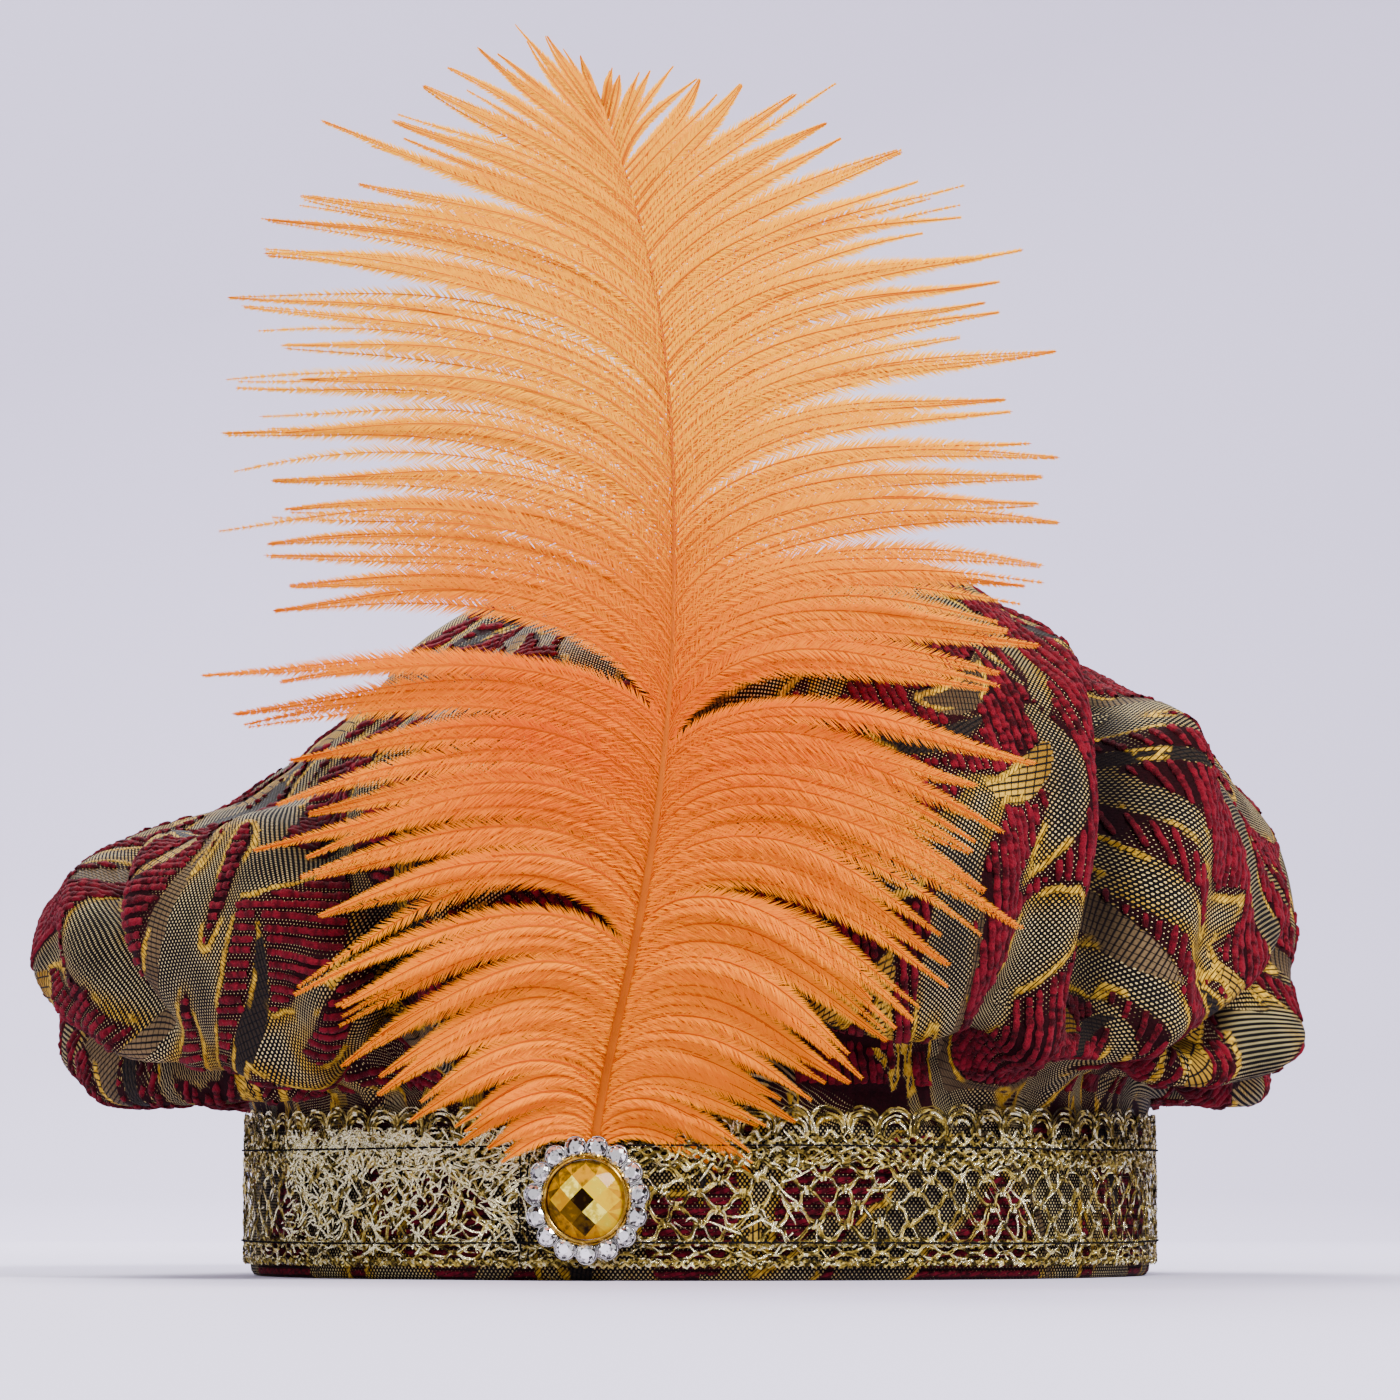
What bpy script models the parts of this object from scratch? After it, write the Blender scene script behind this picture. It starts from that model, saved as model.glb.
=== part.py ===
"""A soft gathered stage hat: brocade crown, fabric headband, metallic lace, jewelled brooch and plume.

The hat stands on its headband. Metres, +Z up, the front is at -Y, and the origin is the centre of
the headband's lower edge. Tables hold millimetres and degrees, azimuth 0 is the front, and positive
azimuths run towards +X.
"""

import math

import bmesh
import bpy
import numpy as np
from mathutils import Matrix, Vector

MM = 0.001
GAP = 0.3

# Headband: a folded strip of the crown's fabric, sewn into a loop.
BAND_OUTER_R = 95.7
BAND_WALL = 2.4
BAND_HEIGHT = 30.0
BAND_EDGE = 0.4
BAND_SEGMENTS = 54

# Crown: one gathered shell that starts on the headband's upper edge.
CROWN_WALL = 2.0
RIM_Z = BAND_HEIGHT + GAP
COLLAR_Z = RIM_Z + 5.5
TOP_Z = 147.0
CROWN_SEGMENTS = 72
CROWN_ROWS = (0.0, 0.022, 0.045, 0.08, 0.12, 0.17, 0.22, 0.28, 0.36, 0.46, 0.58, 0.75, 1.0)
GATHER_RISE = 1.3
GATHER_COUNTS = (17, 22)
GATHER_SPAN = (0.03, 0.1, 0.24)

# Each row is the crown's outline at one azimuth. The fold is the lowest roll of the puff,
# the belly is its widest point, and the shoulder is its height at 70% of the belly's radius.
CROWN_SECTIONS = (
    # azimuth, fold_r, fold_z, belly_r, belly_z, shoulder_z
    (-180, 114, 40, 126, 64, 114),
    (-140, 116, 39, 130, 66, 112),
    (-100, 118, 38, 135, 68, 104),
    (-70, 119, 39, 137, 70, 102),
    (-42, 115, 41, 132, 73, 108),
    (-20, 102, 47, 121, 84, 130),
    (0, 101, 49, 119, 88, 139),
    (25, 108, 45, 121, 86, 139),
    (50, 116, 42, 124, 82, 134),
    (80, 117, 39, 124, 76, 118),
    (115, 117, 38, 127, 70, 116),
    (150, 115, 39, 126, 66, 115),
)
SECTION_KNOTS = (0.0, 0.022, 0.062, 0.13, 0.21, 0.285, 0.39, 0.54, 0.76, 1.0)
NECK_OUT = 0.25
NECK_DROP = 1.0
UNDER_BELLY_IN = 0.25
UNDER_BELLY_UP = 0.42
UPPER_BELLY_R = 0.93
UPPER_BELLY_UP = 0.55
SHOULDER_R = 0.70
DOME_R = 0.36
DOME_UP = 0.88

# Each row is a valley pressed into the crown along a bent line, at (azimuth, share of the way up).
CROWN_FOLDS = (
    # name, from_az, from_s, via_az, via_s, to_az, to_s, depth, width
    ("right_dome_valley", 66, 0.58, 36, 0.36, 42, 0.11, 13.0, 8.0),
    ("right_roll_upper", 48, 0.09, 56, 0.15, 80, 0.30, 8.0, 7.0),
    ("right_roll_middle", 56, 0.07, 66, 0.12, 84, 0.20, 5.0, 5.5),
    ("right_roll_lower", 58, 0.04, 72, 0.06, 92, 0.12, 6.0, 5.5),
    ("dome_crease", 30, 0.30, 34, 0.20, 27, 0.10, 4.0, 7.0),
    ("left_lobe_crest", -44, 0.46, -37, 0.34, -31, 0.24, 7.0, 9.0),
    ("left_lobe_side", -30, 0.26, -29, 0.18, -37, 0.08, 8.0, 7.0),
    ("left_roll", -66, 0.27, -53, 0.16, -64, 0.06, 9.0, 7.0),
    ("left_low_roll", -62, 0.06, -80, 0.09, -104, 0.13, 6.0, 6.5),
    ("left_back_valley", -112, 0.62, -100, 0.38, -110, 0.13, 10.0, 9.0),
    ("back_left_valley", -150, 0.60, -138, 0.36, -147, 0.12, 10.0, 9.0),
    ("back_valley", 178, 0.55, 184, 0.33, 174, 0.10, 9.0, 8.0),
    ("back_right_valley", 146, 0.64, 156, 0.40, 145, 0.12, 11.0, 9.0),
    ("right_back_valley", 112, 0.56, 104, 0.36, 112, 0.12, 9.0, 8.0),
    ("top_dent", -30, 0.74, 20, 0.66, 70, 0.78, 3.5, 13.0),
    ("top_back_dent", 120, 0.72, 175, 0.62, 230, 0.74, 4.0, 14.0),
)
FOLD_SAMPLES = 15
ROLL_RISE = 0.28
ROLL_PLACE = 1.9
ROLL_WIDTH = 0.8

# Each row is a puff pushed out of the crown.
CROWN_PUFFS = (
    # azimuth, share_up, size, rise
    (-50, 0.25, 22, 5.0),
    (-82, 0.20, 24, 4.0),
    (57, 0.36, 20, 5.0),
    (72, 0.17, 20, 4.0),
    (22, 0.26, 24, 3.5),
    (-128, 0.25, 24, 5.0),
    (-166, 0.24, 22, 5.0),
    (164, 0.26, 22, 4.5),
    (128, 0.25, 24, 5.0),
)

# Lace: a metallic net sewn round the headband, with a pointed upper edge.
LACE_INNER_R = 96.4
LACE_WALL = 0.9
LACE_REPEATS = 54
LACE_LEG = 1.5
LACE_ROWS = {"hem": 2.8, "net_low": 6.4, "net_mid_low": 11.2, "net_mid_high": 16.0, "net_high": 20.8}
LACE_TOP = {"valley": 31.2, "peak": 33.8}

# Brooch: a soldered setting with a ring of small stones round a large one.
BROOCH_AZIMUTH = -12.5
BROOCH_Z = 15.8
BROOCH_BACK_R = 100.3
PLATE_R = 11.4
PLATE_WALL = 0.8
BEZEL_OUTER_R = 8.35
BEZEL_INNER_R = 8.0
BEZEL_HEIGHT = 2.4
CUP_COUNT = 15
CUP_RING_R = 10.45
CUP_OUTER_R = 2.2
CUP_HEIGHT = 1.5
CUP_SIDES = 8
SHANK_R = 2.4
SHANK_DROP = 5.0
STONE_SIDES = 8
STONE_R = 1.85
STONE_TABLE_R = 1.0
STONE_DEPTH = 0.95
STONE_CROWN = 0.8
GEM_R = 7.7
GEM_GIRDLE = 1.1
GEM_RISE = 3.6
GEM_FACET = 3.5
GEM_SIDES = 28

# Plume: a quill with barbs in strips. Its middle line bows forward round the crown.
QUILL_LINE = (
    # x, y, z
    (-21.4, -96.3, 19.0),
    (-20.6, -96.7, 27.5),
    (-19.2, -99.8, 35.5),
    (-17.2, -105.2, 45.0),
    (-13.6, -114.4, 60.0),
    (-10.2, -123.0, 77.0),
    (-7.2, -129.0, 97.0),
    (-5.4, -131.5, 118.0),
    (-5.0, -132.0, 140.0),
    (-5.6, -131.0, 163.0),
    (-8.0, -128.5, 186.0),
    (-12.0, -125.0, 205.0),
    (-17.0, -121.5, 221.0),
)
QUILL_WIDTH = (2.6, 0.9)
QUILL_DEPTH = (1.8, 0.8)
# Each row is the barbs' form at one share of the quill: length in mm, and angle above level in
# degrees where a barb leaves the quill and at its tip, for the left and the right side. The bow is
# how far a barb's middle comes forward over the crown, in mm, and the droop is how it falls back.
BARB_FORM = (
    # share, left_length, left_start, left_end, right_length, right_start, right_end, bow, droop
    (0.06, 30, 58, -20, 30, 50, -16, 3.0, 0.0012),
    (0.16, 56, 60, -34, 48, 56, -38, 4.5, 0.0012),
    (0.30, 78, 62, -28, 70, 60, -36, 4.5, 0.0012),
    (0.48, 88, 60, -12, 76, 58, -10, 1.5, 0.0019),
    (0.66, 86, 55, 2, 74, 54, 8, 0.0, 0.0021),
    (0.80, 68, 48, 14, 62, 52, 26, 0.0, 0.0021),
    (0.91, 40, 44, 24, 34, 58, 42, 0.0, 0.0021),
    (0.985, 17, 42, 34, 11, 66, 56, 0.0, 0.0021),
)
STRIPS_PER_SIDE = 22
STRIP_STEPS = 4
STRIP_FILL = 0.74
STRIP_TIP = 0.3
STRIP_DEPTH = (1.1, 0.7)
BARE_QUILL_SHARE = 0.07
BARE_QUILL_RINGS = (0.0, 0.022, 0.044)


def clear_scene():
    for obj in list(bpy.data.objects):
        bpy.data.objects.remove(obj, do_unlink=True)


def collection(name):
    made = bpy.data.collections.new(name)
    bpy.context.scene.collection.children.link(made)
    return made


def material(name, colour, roughness, metallic=0.0):
    made = bpy.data.materials.new(name)
    made.use_nodes = True
    shader = made.node_tree.nodes["Principled BSDF"]
    shader.inputs["Base Color"].default_value = (*colour, 1.0)
    shader.inputs["Roughness"].default_value = roughness
    shader.inputs["Metallic"].default_value = metallic
    return made


def object_from(bm, name, group, finish=None, matrix=None):
    mesh = bpy.data.meshes.new(name)
    bm.to_mesh(mesh)
    bm.free()
    obj = bpy.data.objects.new(name, mesh)
    group.objects.link(obj)
    if finish:
        mesh.materials.append(finish)
    if matrix is not None:
        obj.matrix_world = matrix
    return obj


def hide_cutter(obj):
    obj.hide_render = True
    obj.display_type = "WIRE"
    return obj


def solidify(obj, thickness, offset):
    wall = obj.modifiers.new("wall", "SOLIDIFY")
    wall.thickness = thickness * MM
    wall.offset = offset
    wall.use_even_offset = True
    return wall


def boolean(obj, other, operation):
    cut = obj.modifiers.new(operation.lower(), "BOOLEAN")
    cut.object = other
    cut.operation = operation
    return cut


def spline_weights(x, knots):
    """Weights of the table's rows in a smooth curve through them, one line for each value of x."""
    knots = np.asarray(knots, float)
    eye = np.eye(len(knots))
    slope = np.gradient(eye, knots, axis=0)
    i = np.clip(np.searchsorted(knots, x) - 1, 0, len(knots) - 2)
    step = (knots[i + 1] - knots[i])[:, None]
    t = (np.asarray(x, float)[:, None] - knots[i][:, None]) / step
    rise = t * t * (3 - 2 * t)
    return (
        (1 - rise) * eye[i]
        + rise * eye[i + 1]
        + t * (1 - t) ** 2 * step * slope[i]
        + t * t * (t - 1) * step * slope[i + 1]
    )


def sections_at(azimuth):
    """The columns of CROWN_SECTIONS at each azimuth, smooth all the way round."""
    rows = np.array(CROWN_SECTIONS, float)
    wrapped = np.concatenate([rows[-2:], rows, rows[:2]])
    wrapped[:2, 0] -= 360
    wrapped[-2:, 0] += 360
    turned = (np.asarray(azimuth, float) + 180) % 360 - 180
    return (spline_weights(turned, wrapped[:, 0]) @ wrapped[:, 1:]).T


def crown_outline(azimuth, share):
    """Points of the crown without folds, for paired arrays of azimuth and share of the way up."""
    fold_r, fold_z, belly_r, belly_z, shoulder_z = sections_at(azimuth)
    same = np.ones_like(fold_r)
    radius = np.stack(
        [
            BAND_OUTER_R * same,
            BAND_OUTER_R * same,
            BAND_OUTER_R + NECK_OUT * (fold_r - BAND_OUTER_R),
            fold_r,
            belly_r - UNDER_BELLY_IN * (belly_r - fold_r),
            belly_r,
            UPPER_BELLY_R * belly_r,
            SHOULDER_R * belly_r,
            DOME_R * belly_r,
            0 * same,
        ],
        axis=1,
    )
    height = np.stack(
        [
            RIM_Z * same,
            COLLAR_Z * same,
            fold_z - NECK_DROP,
            fold_z,
            fold_z + UNDER_BELLY_UP * (belly_z - fold_z),
            belly_z,
            belly_z + UPPER_BELLY_UP * (shoulder_z - belly_z),
            shoulder_z,
            shoulder_z + DOME_UP * (TOP_Z - shoulder_z),
            TOP_Z * same,
        ],
        axis=1,
    )
    weights = spline_weights(share, SECTION_KNOTS)
    r = (weights * radius).sum(axis=1)
    z = (weights * height).sum(axis=1)
    angle = np.radians(azimuth)
    return np.stack([r * np.sin(angle), -r * np.cos(angle), z], axis=1)


def distance_to_line(points, line):
    """Each point's distance to a chain of straight pieces, and the nearest place's share of the chain."""
    best = np.full(len(points), 1e9)
    share = np.zeros(len(points))
    pieces = len(line) - 1
    for k in range(pieces):
        along = line[k + 1] - line[k]
        t = np.clip((points - line[k]) @ along / (along @ along), 0, 1)
        gap = np.linalg.norm(points - line[k] - t[:, None] * along, axis=1)
        nearer = gap < best
        best = np.where(nearer, gap, best)
        share = np.where(nearer, (k + t) / pieces, share)
    return best, share


def fold_line(row):
    """A fold's line on the crown: a bent curve from one end past the middle point to the other."""
    t = np.linspace(0, 1, FOLD_SAMPLES)
    ends = np.array([row[1:3], row[3:5], row[5:7]], float)
    weights = np.stack([(1 - t) ** 2, 2 * t * (1 - t), t**2], axis=1)
    curve = weights @ ends
    return crown_outline(curve[:, 0], curve[:, 1])


def crown_relief(points, azimuth, share):
    """How far each point stands out from the outline: puffs, valleys with rolled sides, and gathers."""
    relief = np.zeros(len(points))
    for puff_azimuth, puff_share, size, rise in CROWN_PUFFS:
        middle = crown_outline(np.array([puff_azimuth]), np.array([puff_share]))[0]
        relief += rise * np.exp(-((np.linalg.norm(points - middle, axis=1) / size) ** 2))
    for row in CROWN_FOLDS:
        depth, width = row[7], row[8]
        gap, along = distance_to_line(points, fold_line(row))
        fade = np.sin(np.pi * np.clip(along, 0.02, 0.98)) ** 0.6
        valley = np.exp(-((gap / width) ** 2))
        roll = np.exp(-(((gap - ROLL_PLACE * width) / (ROLL_WIDTH * width)) ** 2))
        relief += fade * depth * (ROLL_RISE * roll - valley)
    start, middle, end = GATHER_SPAN
    rising = np.clip((share - start) / (middle - start), 0, 1)
    falling = np.clip((end - share) / (end - middle), 0, 1)
    angle = np.radians(azimuth)
    waves = np.cos(GATHER_COUNTS[0] * angle + 0.7) + np.cos(GATHER_COUNTS[1] * angle)
    return relief + GATHER_RISE * np.minimum(rising, falling) * waves


def crown_points(segments, rows):
    """The crown's outer surface as rows of points, each a full turn, without the point at the top."""
    azimuth = np.arange(segments) * 360.0 / segments - 180
    grid_azimuth, grid_share = np.meshgrid(azimuth, np.asarray(rows[:-1]))
    flat_azimuth, flat_share = grid_azimuth.ravel(), grid_share.ravel()
    points = crown_outline(flat_azimuth, flat_share)
    step_share, step_azimuth = 0.004, 0.5
    up = crown_outline(flat_azimuth, np.minimum(flat_share + step_share, 1)) - crown_outline(
        flat_azimuth, np.maximum(flat_share - step_share, 0)
    )
    around = crown_outline(flat_azimuth + step_azimuth, flat_share) - crown_outline(
        flat_azimuth - step_azimuth, flat_share
    )
    normal = np.cross(around, up)
    normal /= np.linalg.norm(normal, axis=1)[:, None]
    held = np.clip((flat_share - SECTION_KNOTS[1]) / 0.05, 0, 1)
    relief = crown_relief(points, flat_azimuth, flat_share) * held
    points = points + relief[:, None] * normal
    above_collar = flat_share > SECTION_KNOTS[1]
    lifted = np.maximum(points[:, 2], COLLAR_Z + 0.6)
    points[:, 2] = np.where(above_collar, lifted, points[:, 2])
    return points.reshape(len(rows) - 1, segments, 3)


def surface_of_rows(bm, rows, top=None):
    """A surface through rows of points that each make a full turn, closed by one point at the top."""
    rings = [[bm.verts.new(Vector(p) * MM) for p in row] for row in rows]
    for low, high in zip(rings, rings[1:]):
        for k in range(len(low)):
            after = (k + 1) % len(low)
            bm.faces.new((low[k], low[after], high[after], high[k]))
    if top is not None:
        peak = bm.verts.new(Vector(top) * MM)
        last = rings[-1]
        for k in range(len(last)):
            bm.faces.new((last[k], last[(k + 1) % len(last)], peak))
    return rings


def make_crown(group, finish):
    bm = bmesh.new()
    rows = crown_points(CROWN_SEGMENTS, CROWN_ROWS)
    surface_of_rows(bm, rows, top=(0, 0, TOP_Z))
    bmesh.ops.recalc_face_normals(bm, faces=bm.faces)
    crown = object_from(bm, "crown", group, finish)
    solidify(crown, CROWN_WALL, -1)
    crown.data.shade_smooth()
    return crown


def make_headband(group, finish):
    """A ring with softened edges, turned from its section."""
    inner = BAND_OUTER_R - BAND_WALL
    profile = [
        (BAND_OUTER_R - BAND_EDGE, BAND_HEIGHT),
        (BAND_OUTER_R, BAND_HEIGHT - BAND_EDGE),
        (BAND_OUTER_R, BAND_EDGE),
        (BAND_OUTER_R - BAND_EDGE, 0),
        (inner, 0),
        (inner, BAND_HEIGHT),
    ]
    bm = bmesh.new()
    verts = [bm.verts.new((r * MM, 0, z * MM)) for r, z in profile]
    for k in range(len(verts)):
        bm.edges.new((verts[k], verts[(k + 1) % len(verts)]))
    band = object_from(bm, "headband", group, finish)
    turn = band.modifiers.new("turn", "SCREW")
    turn.steps = turn.render_steps = BAND_SEGMENTS
    turn.use_merge_vertices = True
    turn.merge_threshold = 0.01 * MM
    turn.use_normal_calculate = True
    return band


def make_lace(group, finish):
    """A cylinder of diamonds in two rows that interlock, each with a gap, between solid edges."""
    turn = 2 * math.pi / LACE_REPEATS

    def ring(bm, z, shift):
        angles = [(k + shift) * turn for k in range(LACE_REPEATS)]
        places = [(math.sin(a) * LACE_INNER_R, -math.cos(a) * LACE_INNER_R, z) for a in angles]
        return [bm.verts.new(Vector(place) * MM) for place in places]

    bm = bmesh.new()
    hem = ring(bm, LACE_ROWS["hem"], 0)
    low = ring(bm, LACE_ROWS["net_low"], 0)
    mid_low = ring(bm, LACE_ROWS["net_mid_low"], 0.5)
    mid_high = ring(bm, LACE_ROWS["net_mid_high"], 0)
    high = ring(bm, LACE_ROWS["net_high"], 0.5)
    valley = ring(bm, LACE_TOP["valley"], 0)
    peak = ring(bm, LACE_TOP["peak"], 0.5)
    gaps = []
    for k in range(LACE_REPEATS):
        after, before = (k + 1) % LACE_REPEATS, (k - 1) % LACE_REPEATS
        bm.faces.new((hem[k], hem[after], low[after], low[k]))
        bm.faces.new((low[k], low[after], mid_low[k]))
        gaps.append(bm.faces.new((low[k], mid_low[k], mid_high[k], mid_low[before])))
        gaps.append(bm.faces.new((mid_low[k], mid_high[after], high[k], mid_high[k])))
        bm.faces.new((mid_high[k], high[k], valley[k], high[before]))
        bm.faces.new((high[k], valley[after], peak[k], valley[k]))
    bm.normal_update()
    bmesh.ops.inset_individual(bm, faces=gaps, thickness=LACE_LEG / 2 * MM)
    bmesh.ops.delete(bm, geom=gaps, context="FACES_ONLY")
    bmesh.ops.recalc_face_normals(bm, faces=bm.faces)
    lace = object_from(bm, "lace_trim", group, finish)
    solidify(lace, LACE_WALL, 1)
    return lace


def brooch_matrix():
    """The brooch's own frame: its back lies in the XY plane and its stones face +Z."""
    angle = math.radians(BROOCH_AZIMUTH)
    outward = Vector((math.sin(angle), -math.cos(angle), 0))
    place = outward * BROOCH_BACK_R * MM + Vector((0, 0, BROOCH_Z * MM))
    turned = Matrix.Rotation(angle, 4, "Z") @ Matrix.Rotation(math.pi / 2, 4, "X")
    return Matrix.Translation(place) @ turned


def turned_solid(profile, sides, at=(0, 0)):
    """A closed round solid from (radius, height) pairs that run from the axis below to the axis above."""
    bm = bmesh.new()
    first, last = profile[0], profile[-1]
    bottom = bm.verts.new(Vector((at[0], at[1], first[1])) * MM)
    top = bm.verts.new(Vector((at[0], at[1], last[1])) * MM)
    rings = []
    for r, z in profile[1:-1]:
        angles = [2 * math.pi * (k + 0.5) / sides for k in range(sides)]
        places = [(at[0] + r * math.cos(a), at[1] + r * math.sin(a), z) for a in angles]
        rings.append([bm.verts.new(Vector(place) * MM) for place in places])
    for k in range(sides):
        after = (k + 1) % sides
        bm.faces.new((bottom, rings[0][after], rings[0][k]))
        bm.faces.new((rings[-1][k], rings[-1][after], top))
        for low, high in zip(rings, rings[1:]):
            bm.faces.new((low[k], low[after], high[after], high[k]))
    return bm


def cup_places():
    """The middles of the small stones, evenly round the large one, with one gap at the top."""
    angles = [math.pi / 2 + 2 * math.pi * (k + 0.5) / CUP_COUNT for k in range(CUP_COUNT)]
    return [(CUP_RING_R * math.cos(a), CUP_RING_R * math.sin(a)) for a in angles]


def make_brooch(group, cutters, metal, crystal, amber):
    frame = brooch_matrix()
    plate_top = PLATE_WALL
    floor = plate_top + 0.3
    bezel = turned_solid(
        [
            (0, 0),
            (PLATE_R, 0),
            (PLATE_R, plate_top),
            (BEZEL_OUTER_R, plate_top),
            (BEZEL_OUTER_R, plate_top + BEZEL_HEIGHT),
            (BEZEL_INNER_R, plate_top + BEZEL_HEIGHT),
            (BEZEL_INNER_R, floor),
            (0, floor),
        ],
        GEM_SIDES,
    )
    setting = object_from(bezel, "brooch_setting", group, metal, frame)
    seat = floor + 0.1
    cup_top = plate_top + CUP_HEIGHT
    for k, at in enumerate(cup_places()):
        cup = turned_solid(
            [
                (0, 0.1),
                (CUP_OUTER_R, 0.1),
                (CUP_OUTER_R, cup_top),
                (STONE_R + 0.15, cup_top),
                (0, seat),
            ],
            CUP_SIDES,
            at,
        )
        piece = hide_cutter(object_from(cup, f"cup_{k + 1:02d}", cutters, None, frame))
        boolean(setting, piece, "UNION")
        girdle = cup_top + GAP
        stone = turned_solid(
            [
                (0, girdle - STONE_DEPTH),
                (STONE_R, girdle),
                (STONE_R, girdle + 0.15),
                (STONE_TABLE_R, girdle + 0.15 + STONE_CROWN),
                (0, girdle + 0.15 + STONE_CROWN),
            ],
            STONE_SIDES,
            at,
        )
        object_from(stone, f"rhinestone_{k + 1:02d}", group, crystal, frame)
    shank_length = BROOCH_BACK_R - (LACE_INNER_R + LACE_WALL) - GAP
    shank = bmesh.new()
    bmesh.ops.create_cone(
        shank,
        cap_ends=True,
        segments=CUP_SIDES,
        radius1=SHANK_R * MM,
        radius2=SHANK_R * MM,
        depth=(shank_length + 0.4) * MM,
        matrix=Matrix.Translation(Vector((0, -SHANK_DROP, (0.4 - shank_length) / 2)) * MM),
    )
    boolean(setting, hide_cutter(object_from(shank, "shank", cutters, None, frame)), "UNION")
    make_centre_gem(group, amber, frame, floor + GAP)


def make_centre_gem(group, finish, frame, seat):
    """A round stone with a chequerboard of square facets, whose corners all lie on one bowl."""
    bm = bmesh.new()
    edge_z = seat + GEM_GIRDLE
    for k in range(GEM_SIDES):
        angle = 2 * math.pi * (k + 0.5) / GEM_SIDES
        for r, z in ((GEM_R - 0.4, seat), (GEM_R, seat + 0.4), (GEM_R, edge_z)):
            bm.verts.new(Vector((r * math.cos(angle), r * math.sin(angle), z)) * MM)
    lines = [GEM_FACET * (k - 1.5) for k in range(4)]
    for u in lines:
        for v in lines:
            if math.hypot(u, v) > GEM_R - 0.5:
                continue
            x, y = (u - v) / math.sqrt(2), (u + v) / math.sqrt(2)
            z = edge_z + GEM_RISE * (1 - (u * u + v * v) / GEM_R**2)
            bm.verts.new(Vector((x, y, z)) * MM)
    bmesh.ops.convex_hull(bm, input=bm.verts)
    loose = [v for v in bm.verts if not v.link_faces]
    bmesh.ops.delete(bm, geom=loose, context="VERTS")
    return object_from(bm, "brooch_gem", group, finish, frame)


def quill_at(share):
    """Points of the quill's middle line at shares of its height, and how far along it each lies."""
    line = np.array(QUILL_LINE, float)
    length = np.concatenate([[0], np.cumsum(np.linalg.norm(np.diff(line, axis=0), axis=1))])
    return spline_weights(np.asarray(share, float), length / length[-1]) @ line


def barb_offset(share, side, steps):
    """A barb's middle line from the quill, as sideways, backward and upward distances, and its steps."""
    form = np.array(BARB_FORM, float)
    row = spline_weights(np.array([share]), form[:, 0])[0] @ form[:, 1:]
    length, start, end = row[:3] if side < 0 else row[3:6]
    bow, droop = row[6:]
    u = np.linspace(0, 1, steps + 1)
    angle = np.radians(start + (end - start) * (1 - (1 - u) ** 2))
    step = length / steps
    out = np.concatenate([[0], np.cumsum(np.cos((angle[1:] + angle[:-1]) / 2) * step)])
    up = np.concatenate([[0], np.cumsum(np.sin((angle[1:] + angle[:-1]) / 2) * step)])
    return side * out, droop * out**2 - 4 * bow * u * (1 - u), up


def make_plume(group, finish):
    """A tapered quill of four-cornered rings, whose side faces are drawn out into strips of barbs."""
    shares = list(BARE_QUILL_RINGS)
    pitch = (1 - BARE_QUILL_SHARE) / STRIPS_PER_SIDE
    for k in range(STRIPS_PER_SIDE):
        start = BARE_QUILL_SHARE + pitch * (k + (1 - STRIP_FILL) / 2)
        shares += [start, start + pitch * STRIP_FILL]
    shares.append(1.0)
    middles = quill_at(shares)
    width = np.interp(shares, [0, 1], QUILL_WIDTH)
    depth = np.interp(shares, [0, 1], QUILL_DEPTH)
    bm = bmesh.new()
    rings = []
    for middle, w, d in zip(middles, width, depth):
        corners = ((-w, -d), (w, -d), (w, d), (-w, d))
        rings.append([bm.verts.new(Vector(middle + np.array([x / 2, y / 2, 0])) * MM) for x, y in corners])
    bm.faces.new(rings[0][::-1])
    bm.faces.new(rings[-1])
    sides = {}
    for level, (low, high) in enumerate(zip(rings, rings[1:])):
        for k in range(4):
            after = (k + 1) % 4
            face = bm.faces.new((low[k], low[after], high[after], high[k]))
            if k == 1:
                sides[(level, 1)] = face
            if k == 3:
                sides[(level, -1)] = face
    for strip in range(STRIPS_PER_SIDE):
        level = len(BARE_QUILL_RINGS) + 2 * strip
        share = (shares[level] + shares[level + 1]) / 2
        middle = quill_at([share])[0]
        for side in (-1, 1):
            draw_out_strip(bm, sides[(level, side)], middle, share, side)
    return object_from(bm, "plume", group, finish)


def draw_out_strip(bm, face, middle, share, side):
    """Extrudes one side face of the quill along a barb, a step at a time, narrowing towards the tip."""
    out, back, up = barb_offset(share, side, STRIP_STEPS)
    half_root = (max(v.co.z for v in face.verts) - min(v.co.z for v in face.verts)) / 2 / MM
    quill_half = abs(sum(v.co.x for v in face.verts) / 4 / MM - middle[0])
    for step in range(1, STRIP_STEPS + 1):
        u = step / STRIP_STEPS
        half_height = half_root * (1 + (STRIP_TIP - 1) * u)
        half_depth = (STRIP_DEPTH[0] + (STRIP_DEPTH[1] - STRIP_DEPTH[0]) * u) / 2
        x = middle[0] + side * quill_half + out[step]
        y = middle[1] + back[step]
        z = middle[2] + up[step]
        face = bmesh.ops.extrude_discrete_faces(bm, faces=[face])["faces"][0]
        by_height = sorted(face.verts, key=lambda v: v.co.z)
        for corner_z, pair in ((z - half_height, by_height[:2]), (z + half_height, by_height[2:])):
            front, rear = sorted(pair, key=lambda v: v.co.y)
            front.co = Vector((x, y - half_depth, corner_z)) * MM
            rear.co = Vector((x, y + half_depth, corner_z)) * MM


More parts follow.
